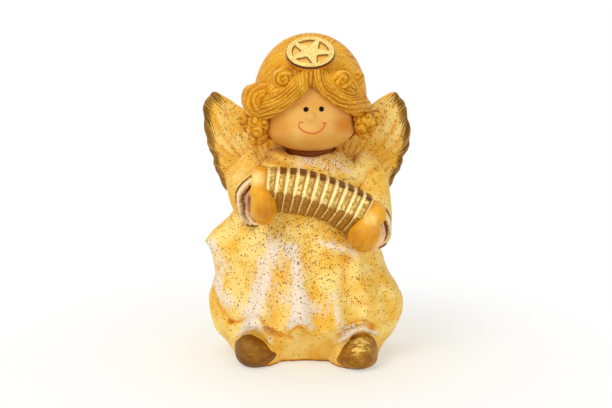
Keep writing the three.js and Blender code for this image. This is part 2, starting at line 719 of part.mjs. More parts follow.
function arm(side) {
  const outwards = vec(side, 0, 0);
  const grip = bellowsFrame(side < 0 ? -END_BOARD_THICKNESS / 2 : BELLOWS_LENGTH + END_BOARD_THICKNESS / 2);
  const hand = grip.middle
    .clone()
    .addScaledVector(FRONT, BELLOWS_DEPTH * 0.8)
    .addScaledVector(grip.over, -BELLOWS_HEIGHT * 0.38)
    .add(vec(HAND_DRIFT, 0, 0));
  const mouth = hand.clone().addScaledVector(FRONT, -HAND_REACH).addScaledVector(outwards, MOUTH_OUT);
  const shoulder = vec(side * SHOULDER_HALF_WIDTH, SHOULDER_BACK, shoulderHeight - SLEEVE_UPPER_RADIUS / 3);
  const elbow = shoulder
    .clone()
    .lerp(mouth, 0.55)
    .addScaledVector(outwards, ELBOW_OUT)
    .addScaledVector(FRONT, -ELBOW_BACK);
  const neck = vec(HEAD_OFFSET + side * NECK_RADIUS, 0, shoulderHeight - SLEEVE_UPPER_RADIUS / 2);
  const stops = [
    { at: neck, wide: SLEEVE_UPPER_RADIUS / 2, tall: SLEEVE_UPPER_RADIUS / 2 },
    { at: shoulder, wide: SLEEVE_UPPER_RADIUS, tall: SLEEVE_UPPER_RADIUS },
    { at: elbow, wide: SLEEVE_ELBOW_RADIUS, tall: SLEEVE_ELBOW_RADIUS },
    { at: mouth, wide: SLEEVE_MOUTH_WIDE, tall: SLEEVE_MOUTH_TALL },
  ];
  return { hand, stops, outwards };
}

// Share of the arm's line at which the open part of the bell mouth begins
function mouthStart(stops, depth) {
  const line = new THREE.CatmullRomCurve3(stops.map(({ at }) => at));
  return 1 - depth / line.getLength();
}

function armForms(side) {
  const { hand, stops, outwards } = arm(side);
  const open = { from: mouthStart(stops, SLEEVE_MOUTH_DEPTH), steps: 3 };
  const mouth = limb(stops, outwards, { ...open, inset: SLEEVE_WALL, overrun: CUFF_RECESS });
  const plug = { from: mouthStart(stops, SLEEVE_MOUTH_DEPTH - SEAM_GAP), steps: 3 };
  return {
    sleeve: limb(stops, outwards).subtract(mouth),
    cuff: limb(stops, outwards, { ...plug, inset: SLEEVE_WALL + CUFF_INSET, overrun: -CUFF_RECESS }),
    hand: egg(hand, HAND_HALF_WIDTH, HAND_REACH, HAND_HALF_LENGTH, HAND_HALF_LENGTH, CURL_SIDES),
  };
}

// Shoes

function shoe(side) {
  const form = geometryFrom(
    egg(vec(0, 0, 0), SHOE_HALF_WIDTH, SHOE_HALF_LENGTH, SHOE_HALF_HEIGHT, SHOE_HALF_HEIGHT, CURL_SIDES),
  );
  return aboveGround(solidFrom(form.rotateZ(side * SHOE_TURN_OUT).translate(...shoeCentre(side))));
}

// Figure

const figure = new THREE.Group();

function groupAt(place) {
  const made = new THREE.Group();
  made.position.copy(place);
  figure.add(made);
  return made;
}

const body = groupAt(vec(0, 0, 0));
const head = groupAt(neckAxis);
const back = groupAt(vec(0, SHOULDER_HALF_DEPTH, chestHeight));
const instrument = groupAt(bellowsFrame(0).middle);

function addMesh(parent, name, solid, paint) {
  const geometry = geometryFrom(solid).translate(...parent.position.clone().negate());
  const mesh = new THREE.Mesh(geometry, new THREE.MeshStandardMaterial(paint));
  mesh.name = name;
  parent.add(mesh);
}

// Pieces are luted on in order. Each is trimmed, a seam apart, to all that are there before it,
// and the crumbs that a cut can leave are dropped.
const standing = [swollen(dressBody), swollen(headBody)];

function lute(parent, name, form, paint) {
  const cut = standing.reduce((rest, other) => rest.subtract(other), form);
  const whole = cut.decompose().reduce((a, b) => (a.volume() > b.volume() ? a : b));
  standing.push(swollen(form));
  addMesh(parent, name, whole, paint);
}

addMesh(body, "dress_shell", dressShell, paints.dress);
addMesh(head, "head_shell", headShell(), paints.skin);
lute(head, "hair_shell", hairForm(), paints.hair);
lute(head, "medallion", medallionForm(), paints.gold);
lute(instrument, "bellows", bellows(), paints.gold);

const sides = { left: -1, right: 1 };
for (const [name, side] of Object.entries(sides)) {
  const { sleeve, cuff, hand } = armForms(side);
  lute(back, `wing_${name}`, wing(side), paints.dress);
  lute(head, `roll_${name}`, roll(side), paints.hair);
  lute(head, `curl_front_${name}`, frontCurl(side), paints.hair);
  lute(head, `ringlets_${name}`, ringlets(side), paints.hair);
  lute(instrument, `end_board_${name}`, endBoard(side), paints.hair);
  lute(body, `sleeve_${name}`, sleeve, paints.dress);
  lute(body, `cuff_${name}`, cuff, paints.lining);
  lute(body, `hand_${name}`, hand, paints.hair);
  lute(body, `shoe_${name}`, shoe(side), paints.gold);
}

// The middle of the figure goes over the origin, and its base on the ground
const box = new THREE.Box3().setFromObject(figure);
const footing = box.getCenter(vec(0, 0, 0)).setZ(box.min.z);
figure.position.sub(footing);

export default figure;
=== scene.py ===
import math

import bmesh
import bpy
import numpy as np
from mathutils import Matrix, Vector
from mathutils.bvhtree import BVHTree
from mathutils.kdtree import KDTree


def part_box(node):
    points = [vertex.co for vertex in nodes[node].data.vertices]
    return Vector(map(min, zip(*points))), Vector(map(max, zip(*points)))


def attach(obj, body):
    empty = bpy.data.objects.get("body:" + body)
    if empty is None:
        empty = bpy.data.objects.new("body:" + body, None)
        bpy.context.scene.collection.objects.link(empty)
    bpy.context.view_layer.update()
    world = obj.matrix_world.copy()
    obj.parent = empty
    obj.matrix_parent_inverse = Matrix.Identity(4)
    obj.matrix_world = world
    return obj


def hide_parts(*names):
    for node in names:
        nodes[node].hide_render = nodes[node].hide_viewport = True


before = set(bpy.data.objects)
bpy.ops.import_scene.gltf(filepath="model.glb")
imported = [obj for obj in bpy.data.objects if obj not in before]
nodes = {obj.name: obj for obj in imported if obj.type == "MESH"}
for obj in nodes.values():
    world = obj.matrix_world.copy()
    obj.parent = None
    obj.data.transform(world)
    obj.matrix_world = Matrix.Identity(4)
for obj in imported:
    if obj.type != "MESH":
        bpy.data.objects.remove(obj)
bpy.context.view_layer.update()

mm = 0.001
sides = {"left": -1, "right": 1}  # of the picture
scene = bpy.context.scene
scene.view_settings.view_transform = "Standard"
print("frame loaded,", len(nodes), "nodes")


# Camera at the photo's angle, and the way from a point to the photo's pixels

cameraSet = {
    "target": (0.0, 2.23 * mm, 65.7 * mm),
    "elevation": 12.0,  # degrees above the horizon
    "distance": 621 * mm,
    "lens": 85.0,
    "sensor": 36.0,
    "clip": 10 * mm,
    "photo": (612, 408),  # pixels
}

cameraTilt = math.radians(cameraSet["elevation"])
lookAlong = np.array((0.0, math.cos(cameraTilt), -math.sin(cameraTilt)))
lookUp = np.array((0.0, math.sin(cameraTilt), math.cos(cameraTilt)))
eyePoint = np.array(cameraSet["target"]) - cameraSet["distance"] * lookAlong
photoMiddle = np.array(cameraSet["photo"]) / 2
zoom = cameraSet["lens"] / cameraSet["sensor"] * cameraSet["photo"][0]


def addObject(name, data):
    thing = bpy.data.objects.new(name, data)
    scene.collection.objects.link(thing)
    return thing


def addCamera():
    data = bpy.data.cameras.new("photoCamera")
    data.lens = cameraSet["lens"]
    data.sensor_width = cameraSet["sensor"]
    data.clip_start = cameraSet["clip"]
    camera = addObject("photoCamera", data)
    camera.location = eyePoint
    camera.rotation_euler = (math.pi / 2 - cameraTilt, 0, 0)
    scene.camera = camera


def toPixels(co):
    away = co - eyePoint
    depth = away @ lookAlong
    x = photoMiddle[0] + zoom * away[:, 0] / depth
    y = photoMiddle[1] - zoom * (away @ lookUp) / depth
    return np.stack((x, y), axis=1)


addCamera()
print("camera placed")


# Meshes and what every piece needs

def toMesh(name, bm):
    mesh = bpy.data.meshes.new(name)
    bm.to_mesh(mesh)
    bm.free()
    return mesh


def evaluated(thing):
    return bpy.data.meshes.new_from_object(thing.evaluated_get(bpy.context.evaluated_depsgraph_get()))


def addMarks(mesh, marks):  # one number at each point, for the paint
    for name, values in marks.items():
        mark = mesh.attributes.new(name, "FLOAT", "POINT")
        mark.data.foreach_set("value", np.asarray(values, np.float32))


def settle(piece, paint, node=None):
    mesh = piece.data
    mesh.materials.clear()
    mesh.materials.append(paint)
    mesh.polygons.foreach_set("use_smooth", np.ones(len(mesh.polygons), bool))
    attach(piece, "root")
    if node:
        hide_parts(node)


def pieceName(node):
    first, *others = node.split("_")
    return first + "".join(word.title() for word in others)


def middleOf(node):
    low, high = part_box(node)
    return (np.array(low) + np.array(high)) / 2


def treeOf(mesh):
    faces = [tuple(polygon.vertices) for polygon in mesh.polygons]
    return BVHTree.FromPolygons([vertex.co.copy() for vertex in mesh.vertices], faces)


def unit(vector):
    vector = np.asarray(vector, float)
    return vector / np.linalg.norm(vector)


# Clay: fine soft copies of the CAD pieces, as arrays of points

claySet = {
    "weld": 1e-6,  # metres
    "pull": 0.5,  # towards the mean of the neighbours
    "giveBack": 0.53,  # and back, in every second round
    "facets": (0.955, 0.975),  # shares of an egg's size where its facets start
    "skin": (1.003, 1.012),  # and end
    "roundRounds": 6,  # of smoothing after that
    "facing": (0.05, 0.4),  # cosines of the angle to the camera
}


def smoothStep(value, low, high):
    t = np.clip((value - low) / (high - low), 0, 1)
    return t * t * (3 - 2 * t)


def fall(value, low, high):
    return 1 - smoothStep(value, low, high)


def bell(value, reach):
    return np.exp(-(value / reach) ** 2)


def spot(pixels, middle, reach):  # 1 at a pixel, less round it
    return bell(np.hypot(*(pixels - np.array(middle)).T), reach)


def waves(value, counts, seed, turn=6.28, weaker=0.4):  # sines that don't repeat together
    phase = np.random.default_rng(seed).uniform(0, turn, len(counts))
    rows = [np.sin(c * value + p) / (1 + weaker * i) for i, (c, p) in enumerate(zip(counts, phase))]
    return sum(rows) / len(counts)


def combed(phase, sharp=0.6):  # strand profile: 0 on the ridges, -1 in the narrow grooves
    return np.abs(np.sin(phase / 2)) ** sharp - 1


def relax(field, edges, rounds, giveBack=0.0):  # mean of the neighbours, over and over
    count = np.maximum(np.bincount(edges.ravel(), minlength=len(field)), 1)
    flat = field.reshape(len(field), -1).copy()
    for turn in range(rounds):
        share = claySet["pull"] if turn % 2 == 0 or giveBack == 0 else -giveBack
        for axis in range(flat.shape[1]):
            column = flat[:, axis]
            total = np.bincount(edges[:, 0], column[edges[:, 1]], len(column))
            total += np.bincount(edges[:, 1], column[edges[:, 0]], len(column))
            flat[:, axis] = column + share * (total / count - column)
    return flat.reshape(field.shape)


class Clay:
    def __init__(self, node, look, name="", also=()):
        self.node = node
        self.name = name or pieceName(node)
        source = bmesh.new()
        for each in (node, *also):
            source.from_mesh(nodes[each].data)
        bmesh.ops.remove_doubles(source, verts=source.verts, dist=claySet["weld"])
        self.piece = addObject(self.name, toMesh(self.name, source))
        modifier = self.piece.modifiers.new("grain", "REMESH")
        modifier.mode = "VOXEL"
        modifier.voxel_size = look["grain"] * mm
        self.mesh = evaluated(self.piece)
        self.piece.modifiers.clear()
        self.piece.data = self.mesh
        self.mesh.name = self.name
        self.edges = np.zeros(2 * len(self.mesh.edges), np.int32)
        self.mesh.edges.foreach_get("vertices", self.edges)
        self.edges = self.edges.reshape(-1, 2)
        self.marks = {}
        self.co = self.rows(self.mesh.vertices, "co")
        self.soften(look["rounds"])
        if "swell" in look:
            self.push(look["swell"])

    def rows(self, items, name):
        flat = np.zeros(3 * len(items), np.float32)
        items.foreach_get(name, flat)
        return flat.reshape(-1, 3).astype(float)

    def normals(self):
        self.mesh.vertices.foreach_set("co", self.co.astype(np.float32).ravel())
        self.mesh.update()
        return self.rows(self.mesh.vertex_normals, "vector")

    def push(self, height):  # along the normals, in mm
        self.co = self.co + self.normals() * (np.asarray(height) * mm).reshape(-1, 1)

    def soften(self, rounds):
        self.co = relax(self.co, self.edges, 2 * (rounds // 2), claySet["giveBack"])

    def melt(self, rounds, share):  # lets a part of the surface run together
        self.co = self.co + (relax(self.co, self.edges, rounds) - self.co) * share[:, None]

    def roundTo(self, middle, halves):  # facets of an egg go out to its true skin; sizes in mm
        away = self.co / mm - np.array(middle)
        wide, deep, drop, rise = halves
        tall = np.where(away[:, 2] < 0, drop, rise)
        share = np.sqrt((away[:, 0] / wide) ** 2 + (away[:, 1] / deep) ** 2 + (away[:, 2] / tall) ** 2)
        close = smoothStep(share, *claySet["facets"]) * fall(share, *claySet["skin"])
        grow = 1 + close * (1 / np.maximum(share, 0.1) - 1)
        self.co = (np.array(middle) + away * grow[:, None]) * mm
        self.soften(claySet["roundRounds"])

    def roundOff(self, rounds, share):  # takes facets off without shrinking
        normals = self.normals()
        soft = relax(self.co, self.edges, rounds)
        lost = relax(((self.co - soft) * normals).sum(axis=1), self.edges, rounds)
        soft = soft + normals * lost[:, None]
        self.co = self.co + (soft - self.co) * share[:, None]

    def relief(self, rounds):  # mm over the smoothed surface
        broad = relax(self.co, self.edges, rounds)
        return ((self.co - broad) * self.normals()).sum(axis=1) / mm

    def blank(self, *names):
        for name in names:
            self.marks[name] = np.zeros(len(self.co))

    def pixels(self):
        return toPixels(self.co)

    def facing(self):  # 1 where the surface looks at the camera
        towards = eyePoint - self.co
        towards /= np.linalg.norm(towards, axis=1)[:, None]
        return smoothStep((self.normals() * towards).sum(axis=1), *claySet["facing"])

    def finish(self, paint, slotName):
        self.co[:, 2] = np.maximum(self.co[:, 2], 0)
        self.normals()
        addMarks(self.mesh, self.marks)
        settle(self.piece, paint, self.node)
        print(self.name, len(self.mesh.polygons), "faces")


def smoothRoute(points, steps=6):  # a rounded line through a few photo points
    points = np.array(points, float)
    before = np.vstack((2 * points[0] - points[1], points, 2 * points[-1] - points[-2]))
    line = []
    for i in range(len(points) - 1):
        a, b, c, d = before[i:i + 4]
        for t in np.linspace(0, 1, steps, endpoint=False):
            line.append(0.5 * (2 * b + (c - a) * t + (2 * a - 5 * b + 4 * c - d) * t ** 2
                               + (3 * b - a - 3 * c + d) * t ** 3))
    line.append(points[-1])
    return np.array(line)


def awayFrom(pixels, route):  # pixels from a route, and on which side
    line = smoothRoute(route)
    best = np.full(len(pixels), np.inf)
    side = np.zeros(len(pixels))
    for a, b in zip(line[:-1], line[1:]):
        along = b - a
        t = np.clip(((pixels - a) @ along) / max(along @ along, 1e-9), 0, 1)
        off = pixels - a - t[:, None] * along
        distance = np.hypot(off[:, 0], off[:, 1])
        closer = distance < best
        best = np.where(closer, distance, best)
        side = np.where(closer, np.sign(along[0] * off[:, 1] - along[1] * off[:, 0]), side)
    return best, side


def sculpt(clay, strokes):  # for each paint, rows of route, reach, mm out and paint
    pixels = clay.pixels()
    seen = clay.facing()
    for paintName, rows in strokes:
        for route, reach, height, amount in rows:
            share = bell(awayFrom(pixels, route)[0], reach) * seen
            clay.push(height * share)
            clay.marks[paintName] = clay.marks[paintName] + amount * share


# Paints

def rgb(red, green, blue):  # sRGB 0 to 255 to linear
    def linear(v):
        v = v / 255
        return v / 12.92 if v <= 0.04045 else ((v + 0.055) / 1.055) ** 2.4
    return (linear(red), linear(green), linear(blue), 1.0)


def join(tree, value, socket):
    if isinstance(value, bpy.types.NodeSocket):
        tree.links.new(value, socket)
    else:
        socket.default_value = value


def addNode(tree, kind, inputs, **settings):
    node = tree.nodes.new("ShaderNode" + kind)
    for name, value in settings.items():
        setattr(node, name, value)
    for name, value in inputs.items():
        join(tree, value, node.inputs[name])
    return node.outputs


class Paint:
    def __init__(self, name, tones, roughness, metallic=0.0, specular=0.35):
        self.material = bpy.data.materials.new(name)
        self.material.use_nodes = True
        self.tree = self.material.node_tree
        self.shader = self.tree.nodes["Principled BSDF"]
        self.shader.inputs["Roughness"].default_value = roughness
        self.shader.inputs["Metallic"].default_value = metallic
        self.shader.inputs["Specular IOR Level"].default_value = specular
        self.place = self.add("TexCoord", {})["Object"]
        self.tones = tones
        self.body = None

    def add(self, kind, inputs, **settings):
        return addNode(self.tree, kind, inputs, **settings)

    def mark(self, name):
        return self.add("Attribute", {}, attribute_name=name)["Fac"]

    def noise(self, size, detail, roughness=0.55, stretch=None):  # size in mm
        inputs = {"Scale": 1 / (size * mm), "Detail": detail, "Roughness": roughness, "Vector": self.place}
        if stretch:
            inputs["Vector"] = self.add("Mapping", {"Scale": stretch, "Vector": self.place})["Vector"]
        return self.add("TexNoise", inputs)["Fac"]

    def streaks(self, name):  # noise across strands; the mark counts them
        inputs = {"Scale": 1.0, "Detail": 2.0, "W": self.mark(name)}
        return self.add("TexNoise", inputs, noise_dimensions="1D")["Fac"]

    def math(self, operation, a, b):
        return self.add("Math", {0: a, 1: b}, operation=operation)[0]

    def plus(self, a, b):
        return self.math("ADD", a, b)

    def times(self, a, b):
        return self.math("MULTIPLY", a, b)

    def ramp(self, value, low, high, start=0.0, end=1.0):
        inputs = {"Value": value, "From Min": low, "From Max": high, "To Min": start, "To Max": end}
        return self.add("MapRange", inputs, interpolation_type="SMOOTHSTEP")["Result"]

    def brushed(self, mark, noise, amount, low, high):  # a mark with an uneven, brushed edge
        uneven = self.times(self.plus(self.ramp(noise, 0.3, 0.7), -0.5), amount)
        return self.ramp(self.plus(self.mark(mark), uneven), low, high)

    def mix(self, share, a, b):  # colours by name or as sockets
        a, b = (self.tones[each] if isinstance(each, str) else each for each in (a, b))
        return self.add("Mix", {0: share, 6: a, 7: b}, data_type="RGBA")[2]

    def blend(self, a, b, value, low, high, start=0.0, end=1.0):
        return self.mix(self.ramp(value, low, high, start, end), a, b)

    def coat(self, colour, share):
        self.body = self.mix(share, self.body, colour)

    def over(self, colour, value, low, high, start=0.0, end=1.0):  # comes in as the value rises
        self.body = self.blend(self.body, colour, value, low, high, start, end)

    def speckles(self, spacing, radius, density, least=0.45):  # sizes in mm, least as a share
        cells = self.add("TexVoronoi", {"Scale": 1 / (spacing * mm), "Vector": self.place})
        split = self.add("SeparateColor", {"Color": cells["Color"]})
        size = self.plus(self.times(split["Green"], radius / spacing), least * radius / spacing)
        dot = self.math("LESS_THAN", cells["Distance"], size)
        chosen = self.math("LESS_THAN", split["Red"], density)
        return self.times(dot, chosen), split["Blue"]

    def finish(self, height=None, distance=0.0):  # distance in mm
        if height is not None:
            normal = self.add("Bump", {"Distance": distance * mm, "Height": height})["Normal"]
            join(self.tree, normal, self.shader.inputs["Normal"])
        join(self.tree, self.body, self.shader.inputs["Base Color"])
        return self.material


def plainPaint(name, colour, roughness, specular=0.5, shade=0.8):
    dim = tuple(shade * v for v in colour[:3]) + (1.0,)
    paint = Paint(name, {"full": colour, "dim": dim}, roughness, specular=specular)
    paint.body = paint.blend("full", "dim", paint.noise(0.5, 2), 0.3, 0.7)
    return paint.finish()


dressColours = {
    "cream": rgb(252, 222, 132),
    "yellow": rgb(243, 190, 68),
    "amber": rgb(236, 166, 40),
    "deep": rgb(196, 118, 16),
    "chalk": rgb(242, 227, 208),
    "speckDark": rgb(94, 50, 6),
    "speckGold": rgb(178, 118, 28),
    "trimGold": rgb(158, 112, 42),
    "trimDark": rgb(106, 66, 16),
    "lining": rgb(255, 226, 172),
    "pink": rgb(244, 198, 158),
    # painted shade inside the sleeves and cuffs
    "inside": rgb(104, 56, 18),
}


def dressPaint(name, trimmed=False):
    paint = Paint(name, dressColours, 0.55, specular=0.1)
    broad = paint.noise(11, 4)
    brush = paint.noise(2.4, 6, 0.7, (1, 1, 0.3))
    grain = paint.noise(0.8, 3)
    paint.body = paint.blend("cream", "yellow", broad, 0.36, 0.64)
    # amber wash and painted shade in creases and hollows; the deepest are painted shadow lines
    paint.coat("amber", paint.brushed("wash", brush, 0.5, 0.1, 0.9))
    paint.coat("deep", paint.brushed("wash", grain, 0.3, 0.9, 1.5))
    # white chalk, and painted highlight on crests and the lap roll
    paint.coat("chalk", paint.times(paint.brushed("chalk", brush, 0.8, 0.15, 1.0), 0.9))
    if trimmed:
        for band in ("lining", "inside", "pink"):
            paint.over(band, paint.mark(band), 0.3, 0.7)
    dots, tint = paint.speckles(0.76, 0.25, paint.mark("dots"))
    paint.coat(paint.blend("speckDark", "speckGold", tint, 0.2, 0.7), dots)
    if trimmed:
        gold = paint.blend("trimDark", "trimGold", brush, 0.35, 0.65)
        dry = paint.times(paint.plus(paint.streaks("comb"), -0.5), 3.2)
        edge = paint.plus(paint.brushed("trim", grain, 0.15, 0.0, 1.0), dry)
        edge = paint.times(edge, paint.ramp(paint.mark("trim"), 0.02, 0.2))
        paint.over(gold, edge, 0.35, 0.6)
    return paint.finish(paint.plus(grain, paint.times(brush, 0.6)), 0.12)


def liningPaint(name):
    paint = Paint(name, dressColours, 0.6, specular=0.25)
    grain = paint.noise(1.5, 3)
    paint.body = paint.blend("lining", "pink", grain, 0.35, 0.65)
    # painted shade on the cuff wall behind the mouth
    paint.over("inside", paint.mark("inside"), 0.3, 0.7)
    return paint.finish(grain, 0.05)


hairColours = {
    "pale": rgb(250, 208, 96),
    "gold": rgb(234, 168, 26),
    "amber": rgb(220, 144, 8),
    "deep": rgb(160, 86, 2),
    "lit": rgb(250, 218, 128),
}


def hairPaint(name):
    paint = Paint(name, hairColours, 0.45, specular=0.08)
    broad = paint.noise(9, 3)
    grain = paint.noise(0.8, 3)
    lines = paint.streaks("strand")
    paint.body = paint.blend("gold", "amber", broad, 0.35, 0.65)
    # painted shade in the grooves
    paint.over("deep", paint.mark("groove"), 0.25, 1.0)
    paint.over("deep", lines, 0.52, 0.72, 0.0, 0.5)
    # painted highlight on the ridges
    paint.coat("pale", paint.times(paint.brushed("ridge", grain, 0.9, 0.6, 1.3), 0.5))
    paint.over("pale", lines, 0.28, 0.46, 0.45, 0.0)
    return paint.finish(paint.plus(grain, paint.times(lines, -1.5)), 0.1)


def handPaint(name):
    paint = Paint(name, hairColours, 0.42, specular=0.3)
    broad = paint.noise(6, 3)
    grain = paint.noise(0.7, 3)
    paint.body = paint.blend("gold", "amber", broad, 0.35, 0.65)
    # painted shade in the grooves and low on the fist, painted highlight on the ridges
    paint.over("deep", paint.mark("groove"), 0.0, 1.0, 0.0, 0.7)
    paint.coat("lit", paint.brushed("ridge", broad, 0.7, 0.3, 1.6))
    return paint.finish(grain, 0.08)


skinColours = {
    "peach": rgb(233, 178, 92),
    "warm": rgb(226, 164, 70),
    "blush": rgb(216, 126, 16),
    # painted shade on the neck under the chin
    "slot": rgb(148, 76, 8),
}


def skinPaint(name):
    paint = Paint(name, skinColours, 0.42, specular=0.25)
    broad = paint.noise(10, 2)
    grain = paint.noise(0.9, 3)
    paint.body = paint.blend("peach", "warm", broad, 0.35, 0.65)
    paint.coat("blush", paint.times(paint.brushed("blush", grain, 0.15, 0.0, 1.1), 0.85))
    # painted shade on the neck under the chin
    paint.over("slot", paint.mark("slot"), 0.2, 0.8)
    return paint.finish(grain, 0.03)


# one gold paint in painted highlight tones (shine, pale) and painted shade tones (olive, dim, brown)
goldColours = {
    "shine": rgb(246, 222, 146),
    "pale": rgb(228, 190, 96),
    "mid": rgb(164, 112, 30),
    "olive": rgb(186, 132, 30),
    "dim": rgb(146, 94, 14),
    "brown": rgb(104, 56, 4),
    "groove": rgb(252, 230, 164),
    "window": rgb(226, 160, 46),
    "seat": hairColours["amber"],
}


def bellowsPaint(name):
    paint = Paint(name, goldColours, 0.42, 0.25, 0.3)
    flake = paint.noise(1.3, 4, 0.7)
    grain = paint.noise(0.45, 2)
    pale = paint.blend("mid", "pale", flake, 0.36, 0.62)
    pale = paint.blend(pale, "shine", flake, 0.5, 0.68)
    olive = paint.blend("dim", "olive", flake, 0.35, 0.65)
    olive = paint.blend(olive, "mid", grain, 0.5, 0.75)
    dark = paint.blend("brown", "dim", flake, 0.48, 0.68)
    # painted highlight on the upper faces, painted shade on the lower faces and tops
    paint.body = pale
    paint.coat(olive, paint.brushed("under", flake, 0.5, 0.35, 0.65))
    paint.coat(dark, paint.brushed("top", flake, 0.7, 0.35, 0.6))
    paint.over(pale, paint.mark("first"), 0.3, 0.7, 0.0, 0.85)
    paint.coat("dim", paint.brushed("shade", flake, 0.8, 0.45, 1.2))
    paint.coat("groove", paint.brushed("groove", grain, 0.5, 0.35, 0.6))
    return paint.finish(paint.plus(flake, grain), 0.15)


def medallionPaint(name):
    paint = Paint(name, goldColours, 0.4, 0.3, 0.3)
    flake = paint.noise(0.9, 3, 0.6)
    grain = paint.noise(0.35, 2)
    # pale gold all over: the painted highlight of gold facing the light
    paint.body = paint.blend("pale", "shine", flake, 0.4, 0.65)
    paint.over("mid", grain, 0.5, 0.72, 0.0, 0.75)
    paint.over(paint.blend("window", "pale", flake, 0.4, 0.65), paint.mark("window"), 0.3, 0.7)
    paint.over("seat", paint.mark("seat"), 0.3, 0.7)
    # painted shade along the window borders, the ring and the side wall
    paint.over("brown", paint.mark("edge"), 0.2, 0.8)
    return paint.finish(grain, 0.12)


def shoePaint(name):
    paint = Paint(name, goldColours, 0.42, 0.3, 0.25)
    streak = paint.noise(1.6, 5, 0.7, (0.35, 1, 1))
    broad = paint.noise(7, 2)
    grain = paint.noise(0.4, 2)
    # the gold in its painted shade tones
    paint.body = paint.blend("dim", "olive", streak, 0.32, 0.62)
    paint.over("brown", broad, 0.3, 0.6, 0.5, 0.0)
    paint.coat("brown", paint.mark("shade"))
    paint.coat("pale", paint.brushed("lit", streak, 1.0, 0.45, 1.1))
    return paint.finish(paint.plus(streak, grain), 0.2)


# Stage: pale floor that turns to plain white with distance, soft light from the upper left

stageSet = {
    "size": 3.0,
    "floor": (0.95, 0.94, 0.91, 1.0),
    "white": (1.0, 1.0, 1.0, 1.0),
    # painted warm light bounced from the figure onto the floor near it
    "cream": (1.0, 0.98, 0.87, 1.0),
    "warm": (0.03, 0.12),  # metres from the middle: the painted warm bounce light ends here
    "fade": (0.032, 0.16),  # and here the floor is plain white
    "glow": 0.5,  # share of plain white close to the figure
    "world": 0.54,
    "lamps": [  # place in metres, size, power, colour
        ((-0.55, -0.65, 0.95), 0.6, 6.5, (1.0, 0.97, 0.92)),
        ((0.7, -0.9, 0.25), 0.8, 2.6, (1.0, 0.98, 0.96)),
        ((0.0, 0.25, 1.2), 0.7, 2.4, (1.0, 1.0, 1.0)),
    ],
}


def seenDirectly(tree):  # 1 for what the camera sees, straight or in a gloss
    path = addNode(tree, "LightPath", {})
    rays = {0: path["Is Camera Ray"], 1: path["Is Glossy Ray"]}
    return addNode(tree, "Math", rays, operation="MAXIMUM")[0]


def showMixed(tree, share, first, second, output):
    mixed = addNode(tree, "MixShader", {0: share, 1: first, 2: second})[0]
    join(tree, mixed, tree.nodes[output].inputs["Surface"])


def floorPaint():
    paint = Paint("palePaper", {}, 0.9, specular=0.1)
    paint.body = stageSet["floor"]
    away = paint.add("VectorMath", {0: paint.place}, operation="LENGTH")["Value"]
    far = paint.ramp(away, *stageSet["fade"], stageSet["glow"], 1.0)
    # painted warm bounce light near the figure
    tint = paint.blend(stageSet["cream"], stageSet["white"], away, *stageSet["warm"])
    glow = paint.add("Emission", {"Color": tint})[0]
    share = paint.times(far, seenDirectly(paint.tree))
    showMixed(paint.tree, share, paint.shader.outputs[0], glow, "Material Output")
    return paint.finish()


def addWorld():
    scene.world = bpy.data.worlds.new("studio")
    scene.world.use_nodes = True
    tree = scene.world.node_tree
    light = tree.nodes["Background"]
    light.inputs["Strength"].default_value = stageSet["world"]
    light.inputs["Color"].default_value = stageSet["white"]
    seen = addNode(tree, "Background", {"Color": stageSet["white"]})[0]
    showMixed(tree, seenDirectly(tree), light.outputs[0], seen, "World Output")


def addStage():
    bm = bmesh.new()
    bmesh.ops.create_grid(bm, x_segments=1, y_segments=1, size=stageSet["size"])
    floor = addObject("floor", toMesh("floor", bm))
    floor.data.materials.append(floorPaint())
    addWorld()
    for place, size, power, colour in stageSet["lamps"]:
        lamp = bpy.data.lights.new("softbox", "AREA")
        lamp.size = size
        lamp.energy = power
        lamp.color = colour
        holder = addObject("softbox", lamp)
        holder.location = place
        aim = Vector(cameraSet["target"]) - Vector(place)
        holder.rotation_euler = aim.to_track_quat("-Z", "Y").to_euler()


addStage()
print("stage set")


# Dress

shoulderFolds = [  # photo pixels, on the dress and the sleeves: route, reach, mm out, and the painted shade in the folds
    ([(256, 148), (266, 151), (277, 157), (288, 163)], 4.5, 1.9, 0),
    ([(264, 157), (276, 163), (288, 170)], 3, -0.8, 0.4),
    ([(360, 188), (364, 180), (370, 173), (379, 167)], 3, -1.2, 0.4),
    ([(366, 190), (371, 181), (378, 175), (386, 172)], 4, 0.9, 0),
    ([(352, 176), (362, 168), (374, 162)], 4, 0.9, 0),
    ([(356, 158), (359, 170), (360, 184)], 6, 1.6, 0),
    ([(256, 156), (257, 163)], 6, 0.8, 0),
]

